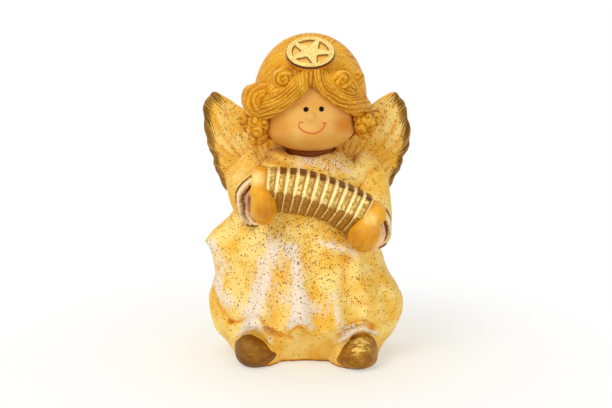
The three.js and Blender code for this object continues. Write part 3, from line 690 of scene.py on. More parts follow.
dressSet = {
    "grain": 0.72,
    "rounds": 26,
    "swell": 0.1,
    "flanks": ((22, 33), (22, 30), 220),  # mm out, mm up, and rounds in which the facets there melt
    "neckline": (82, 86),  # mm up
    "neckRounds": 30,
    "soften": (8, 4),  # rounds before and after the folds
    "collar": ([(297, 160), (312, 162), (328, 159)], 6, 1.3),  # photo pixels, reach, and mm up
    "swells": [  # photo pixels: middle and reach, and mm out, at the sides of the skirt
        ((207, 237), 10, 1.8), ((212, 265), 8, 2.2), ((208, 298), 12, 1.2), ((401, 300), 18, 2.2),
        ((383, 254), 12, 1.2), ((216, 331), 14, 2.6), ((394, 333), 14, 1.8),
    ],
    "gather": 1.5,  # mm: soft folds behind, where the photo shows nothing
    "gathers": (9, 14, 5),  # round the skirt
    "twist": 140,  # mm up to a radian round
    "seed": 6,
    "gathered": ((8, 18), (48, 66)),  # mm up: where they start and end
    "ridges": [  # route in photo pixels, reach, mm out, and chalk and painted highlight on the crest
        ([(275, 246), (268, 264), (262, 285), (257, 304), (250, 314)], 12, 1.7, 0.9),
        ([(294, 250), (297, 266), (298, 290), (300, 316)], 9, 1.6, 0.9),
        ([(215, 276), (221, 290), (229, 303)], 7, 1.2, 0.9),
        ([(213, 246), (219, 258), (224, 266)], 7, 1, 0.7),
        ([(332, 292), (336, 312), (341, 328)], 8, 1, 0.35),
        ([(357, 256), (357, 275), (364, 297), (378, 310)], 6, 1.3, 0.1),
        ([(376, 270), (386, 290), (393, 306)], 8, 0.9, 0),
        # the lap roll: its chalk is a painted highlight
        ([(322, 243), (335, 246), (349, 251)], 5, 1.5, 0.5),
        ([(238, 336), (246, 326), (255, 322), (264, 329), (272, 342)], 5, 2.3, 0.6),
        ([(337, 342), (345, 333), (354, 328), (364, 327), (374, 333)], 4.5, 2.3, 0.75),
        ([(288, 326), (299, 317), (315, 327)], 4, 1.5, 0.7),
        ([(300, 163), (325, 163), (345, 167)], 9, 0.2, 0.55),
        ([(283, 300), (300, 300), (318, 308)], 10, 0, 0.5),
    ],
    "creases": [  # the last number is the amber wash and painted shade that gather in them
        ([(285, 250), (281, 285), (275, 310), (271, 328)], 8, -1.5, 0.15),
        ([(244, 250), (238, 285), (233, 313)], 9, -1.4, 0.25),
        ([(310, 250), (314, 280), (321, 322)], 9, -1.1, 0.12),
        ([(212, 288), (218, 306), (228, 322)], 3, -1, 0.6),
        ([(214, 273), (221, 266), (229, 261)], 2.6, -0.9, 0.5),
        ([(347, 264), (348, 285), (357, 302), (371, 308)], 5, -1.3, 0.16),
        ([(370, 262), (378, 285), (388, 300)], 4, -0.7, 0.1),
        ([(322, 256), (335, 260), (345, 259)], 5, -1.2, 0.25),
    ],
    "hems": [  # thin painted shadow lines where the hem folds over, and one at the neck
        ([(228, 322), (236, 322.5), (247, 318), (255, 317), (262, 320), (269, 329), (280, 336), (291, 339)],
         2.6, -1.4, 0.6),
        ([(285, 328), (292, 322), (298.5, 319.6), (306, 322), (315, 329)], 2.2, -1.0, 0.6),
        ([(289, 334), (294, 329), (299, 327), (307, 329)], 1.8, -0.6, 0.6),
        ([(338, 336), (346, 328), (352.7, 323.7), (363.7, 321), (373, 327.8)], 2.6, -1.4, 0.6),
        # painted shadow of the neck slot, reaching to the right
        ([(332, 150), (337, 149), (342, 147.5)], 2.6, -0.8, 1.6),
        ([(374, 327), (380, 321), (388, 325)], 2.6, -0.5, 0.25),
    ],
    "hollows": [(24, 0.05, 0.4), (140, 0.3, 1.8)],  # rounds of smoothing, and mm under it: amber wash and painted shade gather
    "hollowWashAndShade": 0.2,
    "crests": (0.5, 1.8),  # mm over it: chalk and painted highlight lie there
    "crestChalkAndHighlight": (0.15, 0.35),  # everywhere, and more behind
    "dots": (0.24, 0.16, 0.4),  # speckles everywhere, more from the knees up, and where they crowd
    "knees": (15, 40),  # mm up
    "dense": [((300, 245), 45), ((335, 160), 22), ((262, 155), 18)],  # photo pixels: the crowds
    "petticoat": (8, 15),  # mm up
    "plain": (0.6, 0.2, 0.85),  # on it: shares of wash off and on, and of speckles off
    "foot": (1.5, 0.6, 1.5),  # painted contact shadow round the base, and mm up: it ends
}


def makeDress(look):
    dress = Clay("dress_shell", look, "dress")
    height = dress.co[:, 2] / mm
    across = dress.co[:, 0] / mm
    out, up, rounds = look["flanks"]
    dress.melt(rounds, smoothStep(np.abs(across), *out) * fall(height, *up))
    neckline = smoothStep(height, *look["neckline"])
    dress.melt(look["neckRounds"], neckline)
    before, after = look["soften"]
    dress.soften(before)
    pixels = dress.pixels()
    route, reach, rise = look["collar"]
    dress.co[:, 2] += rise * mm * bell(awayFrom(pixels, route)[0], reach) * neckline
    for middle, reach, size in look["swells"]:
        dress.push(size * spot(pixels, middle, reach))
    behind = 1 - dress.facing()
    turn = np.arctan2(across, dress.co[:, 1] / mm)
    start, end = look["gathered"]
    folds = waves(turn + height / look["twist"], look["gathers"], look["seed"]) * behind
    dress.push(look["gather"] * folds * smoothStep(height, *start) * fall(height, *end))
    marks = dress.marks
    dress.blank("wash", "chalk")
    sculpt(dress, [("chalk", look["ridges"]), ("wash", look["creases"]), ("wash", shoulderFolds)])
    dress.soften(after)
    sculpt(dress, [("wash", look["hems"])])
    for rounds, low, high in look["hollows"]:
        relief = dress.relief(rounds)
        marks["wash"] += look["hollowWashAndShade"] * smoothStep(-relief, low, high)
    least, more = look["crestChalkAndHighlight"]
    marks["chalk"] += (least + more * behind) * smoothStep(relief, *look["crests"])
    pixels = dress.pixels()
    crowd = np.minimum(sum(spot(pixels, *place) for place in look["dense"]), 1)
    least, more, most = look["dots"]
    marks["dots"] = least + more * smoothStep(height, *look["knees"]) + most * crowd * (1 - behind)
    petticoat = fall(height, *look["petticoat"])
    off, on, dotsOff = look["plain"]
    # painted contact shadow along the ground
    wash, low, high = look["foot"]
    marks["wash"] = marks["wash"] * (1 - off * petticoat) + on * petticoat + wash * fall(height, low, high)
    marks["chalk"] *= 1 - petticoat
    marks["dots"] *= 1 - dotsOff * petticoat
    dress.finish(dressPaint("dressPaint"), "dress_paint")


makeDress(dressSet)


# Head

headSet = {
    "grain": 0.5,
    "rounds": 20,
    "middle": (1.8, 0.23, 101.1),  # mm
    "halves": (19.6, 21.5, 11.5, 31.5),
    "nose": ((313, 118), 8.4, 14),  # photo pixels: middle, and the reach of its softening
    "noseRounds": 15,
    "cheeks": [((280, 127), 13, 0.5), ((342, 125), 10, 0.95)],  # photo pixels: middle and reach, and blush
    "slotTop": 91.0,  # mm over the ground: the shaded neck lies under this
    "slotRadius": 12,  # mm
    "slotEdge": (-0.5, 0.5),
    "eyes": {"eyeLeft": (306, 109.5), "eyeRight": (321.5, 109)},
    "eyeRadius": 1.08,  # mm
    "eyeFlat": 0.4,  # thickness, as a share
    "eyeSteps": (24, 16),
    "eyeBlack": rgb(14, 8, 4),
    "lines": {
        "smile": [(298.3, 123.8), (300.2, 128.8), (306.2, 132.2), (313, 133.5), (319, 131.7), (324, 126.8),
                  (324.4, 123.8)],
        "dimpleLeft": [(298.2, 123.2), (301, 122.2), (303.7, 122.4)],
        "dimpleRight": [(322, 122.4), (324.5, 123.2), (327, 123.1)],
    },
    "lineRadius": 0.26,  # mm
    "taper": (3, 0.35),  # points in which a line thins out, and to what
    "lipRed": rgb(226, 84, 20),
}


def onFace(tree, x, y):  # place and normal under a pixel
    along = lookAlong * zoom - lookUp * (y - photoMiddle[1])
    along[0] = x - photoMiddle[0]
    return tree.ray_cast(Vector(eyePoint), Vector(along).normalized())[:2]


def addEye(name, tree, pixel, paint):
    place, normal = onFace(tree, *pixel)
    around, up = headSet["eyeSteps"]
    bm = bmesh.new()
    bmesh.ops.create_uvsphere(bm, u_segments=around, v_segments=up, radius=headSet["eyeRadius"] * mm)
    bmesh.ops.scale(bm, vec=(1, 1, headSet["eyeFlat"]), verts=bm.verts)
    bmesh.ops.rotate(bm, matrix=normal.to_track_quat("Z", "Y").to_matrix(), verts=bm.verts)
    bmesh.ops.translate(bm, vec=place, verts=bm.verts)
    settle(addObject(name, toMesh(name, bm)), paint)


def addLine(name, tree, route, paint):  # a thin brush line laid on the face
    points = [onFace(tree, x, y)[0] for x, y in smoothRoute(route)]
    curve = bpy.data.curves.new(name, "CURVE")
    curve.dimensions = "3D"
    curve.bevel_depth = headSet["lineRadius"] * mm
    curve.bevel_resolution = 3
    curve.use_fill_caps = True
    spline = curve.splines.new("POLY")
    spline.points.add(len(points) - 1)
    for point, place in zip(spline.points, points):
        point.co = (*place, 1)
    ends, thinnest = headSet["taper"]
    for step in range(ends):
        thin = thinnest + (1 - thinnest) * step / ends
        spline.points[step].radius = thin
        spline.points[-1 - step].radius = thin
    holder = addObject(name, curve)
    mesh = evaluated(holder)
    bpy.data.objects.remove(holder)
    mesh.name = name
    settle(addObject(name, mesh), paint)


def makeHead():
    head = Clay("head_shell", headSet, "head")
    head.roundTo(headSet["middle"], headSet["halves"])
    middle, start, end = headSet["nose"]
    off = np.hypot(*(head.pixels() - np.array(middle)).T)
    head.melt(headSet["noseRounds"], fall(off, start, end) * head.facing())
    pixels = head.pixels()
    blush = sum(amount * spot(pixels, middle, reach) for middle, reach, amount in headSet["cheeks"])
    head.marks["blush"] = blush * head.facing()
    inside = np.hypot(*(head.co[:, :2] - middleOf("head_shell")[:2]).T) / mm < headSet["slotRadius"]
    # painted shade on the neck under the chin
    head.marks["slot"] = smoothStep(headSet["slotTop"] - head.co[:, 2] / mm, *headSet["slotEdge"]) * inside
    head.finish(skinPaint("skinPaint"), "skin_paint")
    tree = treeOf(head.mesh)
    eyeBlack = plainPaint("eyeBlack", headSet["eyeBlack"], 0.3, 0.1)
    for name, pixel in headSet["eyes"].items():
        addEye(name, tree, pixel, eyeBlack)
    lipRed = plainPaint("lipRed", headSet["lipRed"], 0.4)
    for name, route in headSet["lines"].items():
        addLine(name, tree, route, lipRed)
    print("face painted")


makeHead()


# Hair

hairSet = {
    "grain": 0.4,
    "rounds": 22,
    "regain": 0.1,  # mm
    "middle": (1.8, 3.83, 112.1),  # mm: the round crown
    "halves": (23.8, 25.1, 26.7, 26.7),
    "tilt": 1.0,  # radians up to the face of the medallion
    "seat": (10.5, 12.5),  # mm from its middle: nothing nearer is smoothed
    "strandCount": 46,  # round the medallion
    "strandDepth": 0.32,  # mm
    "strandsFrom": (10, 14),  # mm from the middle of the medallion
    "strandShade": 0.5,
    "ridge": (-0.3, 0.0),  # shares of the depth: painted highlight from here
    "lockPitch": 3.7,  # photo pixels between the strands of a lock
    "lockReach": (13.2, 22),  # and from its edge, where they end
    "lockShade": 0.5,
    "lockRounds": 200,
    "lockSmooth": ((5, 11), (24, 34)),  # photo pixels over its edge: smoothed from here to here
    "hairs": 3,  # painted hairs in each strand
    "otherHairs": 40,  # so that the locks have their own
    "locks": [  # lower edges in photo pixels, and the side the lock is on
        ([(310, 55), (311, 80), (308, 86), (299, 96), (290, 103), (282, 108), (272, 112), (260, 116),
          (236, 124)], 1),
        ([(314, 55), (313, 80), (317, 90), (324, 97), (334, 103), (349, 107), (358, 107), (378, 104)], -1),
    ],
}

medallionAxis = np.array((0.0, -math.cos(hairSet["tilt"]), math.sin(hairSet["tilt"])))
medallionSlope = np.array((0.0, math.sin(hairSet["tilt"]), math.cos(hairSet["tilt"])))


def makeHair(look):
    hair = Clay("hair_shell", look, "hair")
    hair.roundTo(look["middle"], look["halves"])
    hair.push(look["regain"])
    seat = middleOf("medallion")
    reach = np.linalg.norm(hair.co - seat, axis=1) / mm
    pixels = hair.pixels()
    front = hair.facing()
    edges = [awayFrom(pixels, route) for route, above in look["locks"]]
    start, end = look["lockSmooth"]
    for (off, side), (route, above) in zip(edges, look["locks"]):
        upper = smoothStep(off * (side == above), *start) * fall(off, *end)
        hair.melt(look["lockRounds"], upper * front * smoothStep(reach, *look["seat"]))
    away = hair.co - seat
    turn = np.arctan2(away[:, 0], -(away @ medallionSlope))
    sway = 0.06 * np.sin(reach / 5 + 3 * turn) + 0.04 * np.sin(reach / 2.6 + 7 * turn)
    phase = look["strandCount"] * (turn + sway)
    height = combed(phase) * (0.6 + 0.4 * np.sin(5 * turn + reach / 6))
    height = height * smoothStep(reach, *look["strandsFrom"])
    strand = look["hairs"] * phase / (2 * math.pi)
    shade = np.zeros(len(hair.co))
    x, y = pixels.T
    for off, side in edges:
        swirl = (off + 1.2 * np.sin(x / 13) + 0.7 * np.sin(x / 5.3 + y / 4.1)) / look["lockPitch"]
        depth = 0.6 + 0.4 * np.sin(x / 6 + off / 2.5)
        share = front * fall(off, *look["lockReach"])
        height = height * (1 - share) + depth * combed(2 * math.pi * swirl, 0.8) * share
        strand = np.where(share > 0.5, look["hairs"] * swirl + look["otherHairs"], strand)
        shade = np.maximum(shade, share)
    # painted shade in the grooves and on the locks, painted highlight on the ridges
    hair.marks["groove"] = look["lockShade"] * shade - look["strandShade"] * height
    hair.marks["ridge"] = smoothStep(height, *look["ridge"])
    hair.marks["strand"] = strand
    hair.push(look["strandDepth"] * height)
    hair.finish(hairPaint("hairPaint"), "hair_paint")


makeHair(hairSet)

curlSet = {
    "grain": 0.34,
    "rounds": 14,
    "swell": 0.3,
    "lumpReach": 5,  # photo pixels
    "groove": (0.43, 0.84),  # dark paint everywhere, and painted shade that grows with depth
    "ridge": (-0.4, 0.0),  # shares of the depth: painted highlight from here
    "hairs": (3, 7),  # painted hairs in each strand, and between one eye and the next
    "behind": 0.15,  # share of the depth where the photo shows nothing
    "locks": {  # shift, sink, depth and lump in mm, eyes and pitch in photo pixels
        "curl_front_left": dict(
            shift=(0.3, -0.4), squash=1, sink=0.8, depth=0.5, pitch=5.5, twist=1, lump=0, eyes=[(284, 79)]),
        "curl_front_right": dict(
            shift=(0.9, -1), squash=1, sink=0.8, depth=0.45, pitch=5.5, twist=-1, lump=0, eyes=[(343, 81)]),
        "roll_left": dict(
            shift=(1, 1.3), squash=1.08, sink=0, depth=0.28, pitch=5, twist=1, lump=0, eyes=[(263, 101)]),
        "roll_right": dict(
            shift=(-2.6, 0), squash=1, sink=0.6, depth=0.4, pitch=6, twist=-1, lump=0.4,
            eyes=[(357, 76), (352, 97), (360, 108)]),
        "ringlets_left": dict(
            shift=(-1.4, 1), squash=0.92, sink=0, depth=0.5, pitch=6, twist=-1, lump=1.3,
            eyes=[(243, 120), (254, 120), (264, 122), (247, 131), (258, 132), (252, 141)]),
        "ringlets_right": dict(
            shift=(2.4, 1.2), squash=0.72, sink=0, depth=0.5, pitch=6, twist=1, lump=1.3,
            eyes=[(357, 119), (367, 118), (377, 121), (361, 128), (371, 129), (365, 135)]),
    },
}


def swirls(lock, look):  # strands wound round the nearest eye
    pixels = lock.pixels()
    off = np.stack([pixels - np.array(eye) for eye in look["eyes"]])
    reach = np.hypot(off[..., 0], off[..., 1])
    nearest = reach.argmin(axis=0)
    each = np.arange(len(pixels))
    away = off[nearest, each]
    reach = reach[nearest, each]
    lock.push(look["lump"] * bell(reach, curlSet["lumpReach"]))
    x, y = pixels.T
    turn = np.arctan2(away[:, 1], away[:, 0])
    wobble = 0.9 * np.sin(2 * turn + 3 * nearest) + 0.5 * np.sin(x / 2.1 + y / 3.3)
    wobble = wobble + 0.7 * np.sin(x / 3.7 - y / 2.9)
    phase = 2 * math.pi * reach / look["pitch"] - look["twist"] * turn + wobble
    height = combed(phase, 0.9) * (0.65 + 0.35 * np.sin(3 * turn + reach / 2))
    least, more = curlSet["groove"]
    # painted shade in the grooves, painted highlight on the ridges
    lock.marks["groove"] = least - more * look["depth"] * height
    lock.marks["ridge"] = smoothStep(height, *curlSet["ridge"])
    hairs, others = curlSet["hairs"]
    lock.marks["strand"] = hairs * reach / look["pitch"] + others * nearest
    behind = curlSet["behind"]
    lock.push(look["depth"] * height * (behind + (1 - behind) * lock.facing()))


def makeCurls():
    paint = bpy.data.materials["hairPaint"]
    for node, look in curlSet["locks"].items():
        lock = Clay(node, curlSet)
        across, up = look["shift"]
        inward = unit(np.array(hairSet["middle"]) * mm - middleOf(node))
        top = lock.co[:, 2].max()
        lock.co[:, 2] = top - (top - lock.co[:, 2]) * look["squash"]
        lock.co = lock.co + (np.array((across, 0.0, up)) + look["sink"] * inward) * mm
        swirls(lock, look)
        lock.finish(paint, "hair_paint")


makeCurls()


# Medallion

medallionSet = {
    "grain": 0.22,
    "rounds": 6,
    "swell": 0.05,
    "radius": 10.2,  # mm
    "rim": 0.7,  # mm inside the radius: the face starts here
    "faceDepth": 1.7,  # mm: what lies deeper isn't the face
    "slide": 0.9,  # mm down its own slope
    "ring": (8.7, 0.3, 0.2),  # mm: radius, reach and depth of a fine line
    "depth": 0.9,  # mm of the windows between the arms of the star
    "window": 7.7,  # mm: how far out the windows reach
    "tip": 11.0,  # mm: where the edges of an arm would meet, past the rim
    "waist": 3.5,  # mm: where two arms meet
    "turn": math.radians(67),  # direction of one arm
    "bevel": (-0.1, 0.5),  # mm past the edge of an arm: down to the window
    "border": ((-0.3, 0.1), (0.3, 0.7)),  # mm past it: a painted shadow line starts and ends
    "dark": (0.6, 0.3),  # painted shade in that line and in the ring
    "soften": 4,
    "wall": (0.5, 0.1),  # mm inside the radius
    "wallDark": (1.0, 1.6),  # mm deep: the painted shade on the wall ends
    "seat": (1.2, 1.6),  # and the colour of the hair starts
}


def makeMedallion(look):
    disc = Clay("medallion", look, "medallionStar")
    away = disc.co - middleOf("medallion")
    x = away[:, 0] / mm
    y = away @ medallionSlope / mm
    across = np.hypot(x, y)
    rise = disc.co @ medallionAxis / mm
    depth = rise.max() - rise
    radius = look["radius"]
    face = (depth < look["faceDepth"]) & (across < radius - look["rim"])
    disc.co = disc.co + np.outer(np.where(face, depth, 0) * mm, medallionAxis)
    disc.co = disc.co - medallionSlope * look["slide"] * mm
    fifth = 2 * math.pi / 5
    turn = np.abs((np.arctan2(y, x) - look["turn"] + fifth / 2) % fifth - fifth / 2)
    tip = look["tip"]
    edge = unit(look["waist"] * np.array((math.cos(fifth / 2), math.sin(fifth / 2))) - (tip, 0.0))
    past = (across * np.cos(turn) - tip) * edge[1] - across * np.sin(turn) * edge[0]
    inside = look["window"] - across
    window = smoothStep(past, *look["bevel"]) * smoothStep(inside, *look["bevel"]) * face
    start, end = look["border"]
    border = smoothStep(past, *start) * smoothStep(inside, *start) * face
    border = border * fall(np.minimum(past, inside), *end)
    middle, reach, ringDepth = look["ring"]
    ring = bell(across - middle, reach) * face
    disc.co = disc.co - np.outer((look["depth"] * window + ringDepth * ring) * mm, medallionAxis)
    disc.soften(look["soften"])
    low, high = look["wall"]
    outside = smoothStep(across, radius - low, radius - high)
    disc.marks["window"] = window
    borderDark, ringDark = look["dark"]
    # painted shade: window borders, the upper side wall and the ring
    dark = np.maximum(borderDark * border, outside * fall(depth, *look["wallDark"]))
    disc.marks["edge"] = np.maximum(dark, ringDark * ring)
    disc.marks["seat"] = outside * smoothStep(depth, *look["seat"])
    disc.finish(medallionPaint("medallionGold"), "gold_paint")


makeMedallion(medallionSet)


# Wings

wingSet = {
    "grain": 0.42,
    "rounds": 14,
    "root": (12.0, 60.0),  # mm: middle of the fan of feathers, out from the middle and up
    "spread": {"left": 0.8, "right": 3.0},  # mm the lower feathers reach further out
    "spreadAt": (28, 16),  # mm up, and how far up and down
    "spreadFrom": (6, 24),  # mm out
    "tip": (28, 38),  # mm up: smoothed
    "tipRounds": 120,
    "lift": 1.6,  # mm the upper edge stands higher
    "lifted": ((0.75, 1.1), (18, 32)),  # radians over level, and mm from the root
    "tipIn": {"left": 0.1, "right": 2.2},  # mm the tip leans in
    "tipFrom": (30, 44),  # mm up
    "featherCount": 30,
    "featherDepth": 0.3,  # mm
    "feathers": (8, 26),  # mm from the root: they come in
    "rim": (0.5, 8),  # the narrow side looks ahead or back less than this, from so many mm out
    "edgeWidth": (1.7, 3.2),  # mm of brown gold along the feather ends, low and at the tip
    "edgeRise": (12, 46),  # mm up: it gets wider
    "edgeFrom": (10, 18),  # mm out
    "edgeTo": (1.04, 1.16),  # radians over level
    "edgeFade": (1.4, 0.75),  # gold at the edge, and what it loses over its width
    "wash": (0.2, 0.35, 0.3),  # amber wash everywhere, wash and painted shade between the feathers, and uneven
    "streakCount": 95,  # dry brush streaks to a radian
    "washes": (41, 67),  # uneven wash round the fan
    "seed": 3,
    "dots": 0.35,
}


def distanceTo(co, indices):  # mm from each point to the nearest of the chosen ones
    tree = KDTree(len(indices))
    for index in indices:
        tree.insert(Vector(co[index]), int(index))
    tree.balance()
    return np.array([tree.find(Vector(point))[2] for point in co]) / mm


def makeWing(side, sign, paint):
    look = wingSet
    wing = Clay("wing_" + side, look)
    out = wing.co[:, 0] * sign / mm - look["root"][0]
    up = wing.co[:, 2] / mm - look["root"][1]
    level, reach = look["spreadAt"]
    spread = look["spread"][side] * smoothStep(out, *look["spreadFrom"]) * bell(up - level, reach)
    spread = spread - look["tipIn"][side] * smoothStep(up, *look["tipFrom"])
    steep, far = look["lifted"]
    lift = smoothStep(np.arctan2(up, out), *steep) * smoothStep(np.hypot(out, up), *far)
    lift = look["lift"] * lift
    wing.co[:, 0] += sign * spread * mm
    wing.co[:, 2] += lift * mm
    wing.melt(look["tipRounds"], smoothStep(up, *look["tip"]))
    out = out + spread
    up = up + lift
    turn = np.arctan2(up, out)
    reach = np.hypot(out, up)
    most, start = look["rim"]
    rim = np.flatnonzero((np.abs(wing.normals()[:, 1]) < most) & (out > start))
    fromEdge = distanceTo(wing.co, rim)
    sway = 0.03 * np.sin(reach / 4 + 5 * turn)
    height = combed(look["featherCount"] * 2 * (turn + sway), 0.8)
    fade = smoothStep(reach, *look["feathers"])
    wing.push(look["featherDepth"] * height * fade)
    low, high = look["edgeWidth"]
    width = low + (high - low) * smoothStep(up, *look["edgeRise"])
    outer = smoothStep(out, *look["edgeFrom"]) * fall(turn, *look["edgeTo"])
    full, loss = look["edgeFade"]
    wing.marks["trim"] = np.clip(full - loss * fromEdge / width, 0, 1) * outer
    wing.marks["comb"] = look["streakCount"] * (turn + sway)
    least, between, uneven = look["wash"]
    wing.marks["wash"] = least - between * fade * height
    wing.marks["wash"] += uneven * waves(turn, look["washes"], look["seed"])
    wing.blank("chalk")
    wing.marks["dots"] = np.full(len(wing.co), look["dots"])
    wing.finish(paint, "dress_paint")


# Arms

sleeveSet = {
    "grain": 0.4,
    "rounds": 12,
    "swell": 0.4,
    "roundOff": (150, 1.5, 5),  # rounds, and mm behind the mouth where it starts
    "bulge": {"left": 2.2, "right": 1.2},  # mm: the fall of the sleeves at their outer sides
    "bulgeFrom": (46, 58),  # mm up
    "bulgeTo": (74, 84),
    "outward": (0.1, 0.8),  # how far the bulging side looks out
    "tuck": {"left": 1.7, "right": 0.0},  # mm: the mouth is drawn in at its outer side
    "tucked": ((0, 8), (-8, 0)),  # mm out from the middle of the mouth, and ahead of it
    "front": -1,  # mm ahead of the mouth: its rim
    "evened": (-9, -3),  # mm ahead of it: the corners of the rim go
    "slots": 90,  # steps round a mouth
    "lipWaves": 6,  # broad waves kept in its rim
    "blur": 10,  # rounds of smoothing for the painted bands
    "lip": 2.5,  # mm: the gold lip is about half as wide
    "lipNear": 0.8,  # mm
    "band": {"left": 1.9, "right": 1.3},  # mm: the lining shows so far in from the lip
    "line": 1.7,  # mm: the brown between lining and cuff
    "soft": (0.8, 0.6),  # mm in which brown and pink come in
    "deep": (0.7, 1.7),  # mm behind the mouth: painted brown shade
    "face": ((0.1, 0.9), (-1.4, -0.4)),  # mm in from the lip, and ahead of the mouth: lining
    # painted shade over the whole sleeve, much more on the left one
    "wash": {"left": 0.42, "right": 0.05},
    "hollows": (30, 0.05, 0.4),  # as on the dress
    "hollowWashAndShade": 0.5,
    "dots": {"left": 0.22, "right": 0.35},
    "slope": 1.6,  # mm: how far the lining falls away behind the lip
    "slopeFrom": (0.4, 3.2),  # mm in from the lip
    "flat": ((-0.8, 1.0), (0.5, 0.8)),  # mm ahead of the mouth, and how far it looks ahead
    "wall": (2.4, 2.8),  # mm: what lies nearer to the cuff is lining
}


def mouthOf(node, forward=-0.6, same=0.97):  # a point on the flat end of a cuff, and the way it looks
    faces = nodes[node].data.polygons
    normals = np.array([tuple(face.normal) for face in faces])
    areas = np.array([face.area for face in faces])
    centres = np.array([tuple(face.center) for face in faces])
    ahead = normals[:, 1] < forward
    facing = unit((normals * areas[:, None])[ahead].sum(axis=0))
    flat = ahead & (normals @ facing > same)
    return np.average(centres[flat], axis=0, weights=areas[flat]), facing


def roundMouth(clay, place, facing):  # the rim's corners go: its reach keeps only broad waves
    away = (clay.co - place) / mm
    ahead = away @ facing
    flat = away - np.outer(ahead, facing)
    reach = np.linalg.norm(flat, axis=1)
    aside = unit(np.cross(facing, (0.0, 0.0, 1.0)))
    turn = np.arctan2(flat @ np.cross(aside, facing), flat @ aside)
    count = sleeveSet["slots"]
    slots = ((turn + math.pi) / (2 * math.pi) * count).astype(int) % count
    rim = np.zeros(count)
    front = ahead > sleeveSet["front"]
    np.maximum.at(rim, slots[front], reach[front])
    known = np.flatnonzero(rim > 0.5 * rim.max())
    rim = np.interp(np.arange(count), known, rim[known], period=count)
    wave = np.fft.rfft(rim)
    wave[sleeveSet["lipWaves"]:] = 0
    even = np.fft.irfft(wave, count)
    middles = (np.arange(count) + 0.5) / count * 2 * math.pi - math.pi
    grow = np.interp(turn, middles, even / rim, period=2 * math.pi) - 1
    clay.co = clay.co + flat * (grow * smoothStep(ahead, *sleeveSet["evened"]) * mm)[:, None]
    return np.interp(turn, middles, even, period=2 * math.pi) - reach  # mm in from the lip


def makeSleeve(side, sign, paint):
    look = sleeveSet
    sleeve = Clay("sleeve_" + side, look)
    marks = sleeve.marks
    place, facing = mouthOf("cuff_" + side)
    ahead = (sleeve.co - place) @ facing / mm
    rounds, start, end = look["roundOff"]
    sleeve.roundOff(rounds, smoothStep(-ahead, start, end))
    roundMouth(sleeve, place, facing)
    tree = treeOf(nodes["cuff_" + side].data)
    gap = np.array([tree.find_nearest(Vector(point))[3] for point in sleeve.co]) / mm
    lining = fall(gap, *look["wall"])
    height = sleeve.co[:, 2] / mm
    outside = smoothStep(sleeve.normals()[:, 0] * sign, *look["outward"]) * (1 - lining)
    outside = outside * smoothStep(height, *look["bulgeFrom"]) * fall(height, *look["bulgeTo"])
    sleeve.push(look["bulge"][side] * outside)
    rounds, low, high = look["hollows"]
    marks["wash"] = look["hollowWashAndShade"] * smoothStep(-sleeve.relief(rounds), low, high) * (1 - lining)
    sculpt(sleeve, [("wash", shoulderFolds)])
    out, near = look["tucked"]
    outer = smoothStep((sleeve.co - place)[:, 0] * sign / mm, *out)
    sleeve.co[:, 0] -= sign * look["tuck"][side] * outer * smoothStep(ahead, *near) * mm
    within = roundMouth(sleeve, place, facing)
    ahead = (sleeve.co - place) @ facing / mm
    lipAhead = np.median(ahead[(ahead > look["front"]) & (np.abs(within) < look["lipNear"])])
    fromLip = np.hypot(within, ahead - lipAhead)
    near, straight = look["flat"]
    flat = smoothStep(ahead, *near) * smoothStep(sleeve.normals() @ facing, *straight)
    drop = look["slope"] * flat * smoothStep(within, *look["slopeFrom"])
    sleeve.co = sleeve.co - np.outer(drop * mm, facing)
    inward, near = look["face"]
    face = smoothStep(within, *inward) * smoothStep(ahead, *near)
    lining = relax(np.maximum(lining, face), sleeve.edges, look["blur"])
    band = look["band"][side]
    line = band + look["line"]
    brownSoft, pinkSoft = look["soft"]
    # brown: painted shade behind the mouth, and the brown line past the lining
    deep = np.maximum(smoothStep(-ahead, *look["deep"]), smoothStep(within, band, band + brownSoft))
    pink = smoothStep(within, line, line + pinkSoft)
    marks["trim"] = np.maximum(1 - fromLip / look["lip"], -1)
    marks["lining"] = lining
    marks["inside"] = relax(lining * deep, sleeve.edges, look["blur"])
    marks["pink"] = relax(lining * pink, sleeve.edges, look["blur"])
    # painted shade over the whole sleeve, more on the left one
    marks["wash"] += look["wash"][side]
    sleeve.blank("chalk")
    marks["dots"] = look["dots"][side] * (1 - lining)
    sleeve.finish(paint, "dress_paint")


cuffSet = {
    "grain": 0.34,
    "rounds": 8,
    "swell": 0.4,
    "shift": {"left": (-0.9, 0.0, 0.0), "right": (0.5, 0.0, 0.2)},  # mm
    "grow": 0.32,  # share, at the outer side
    "growFrom": (-2, 4),  # mm out from the middle of the mouth
    "inside": (1.5, 2.4),  # mm behind the mouth: painted shade turns its wall brown
}


def makeCuff(side, sign, paint):
    cuff = Clay("cuff_" + side, cuffSet)
    place, facing = mouthOf("cuff_" + side)
    ahead = (cuff.co - place) @ facing / mm
    flat = cuff.co - place - np.outer(ahead * mm, facing)
    grow = cuffSet["grow"] * smoothStep(flat[:, 0] * sign / mm, *cuffSet["growFrom"])
    cuff.co = cuff.co + flat * grow[:, None] + np.array(cuffSet["shift"][side]) * mm
    cuff.marks["inside"] = smoothStep(-ahead, *cuffSet["inside"])
    cuff.finish(paint, "lining_paint")


boardSet = {"grain": 0.34, "rounds": 10}

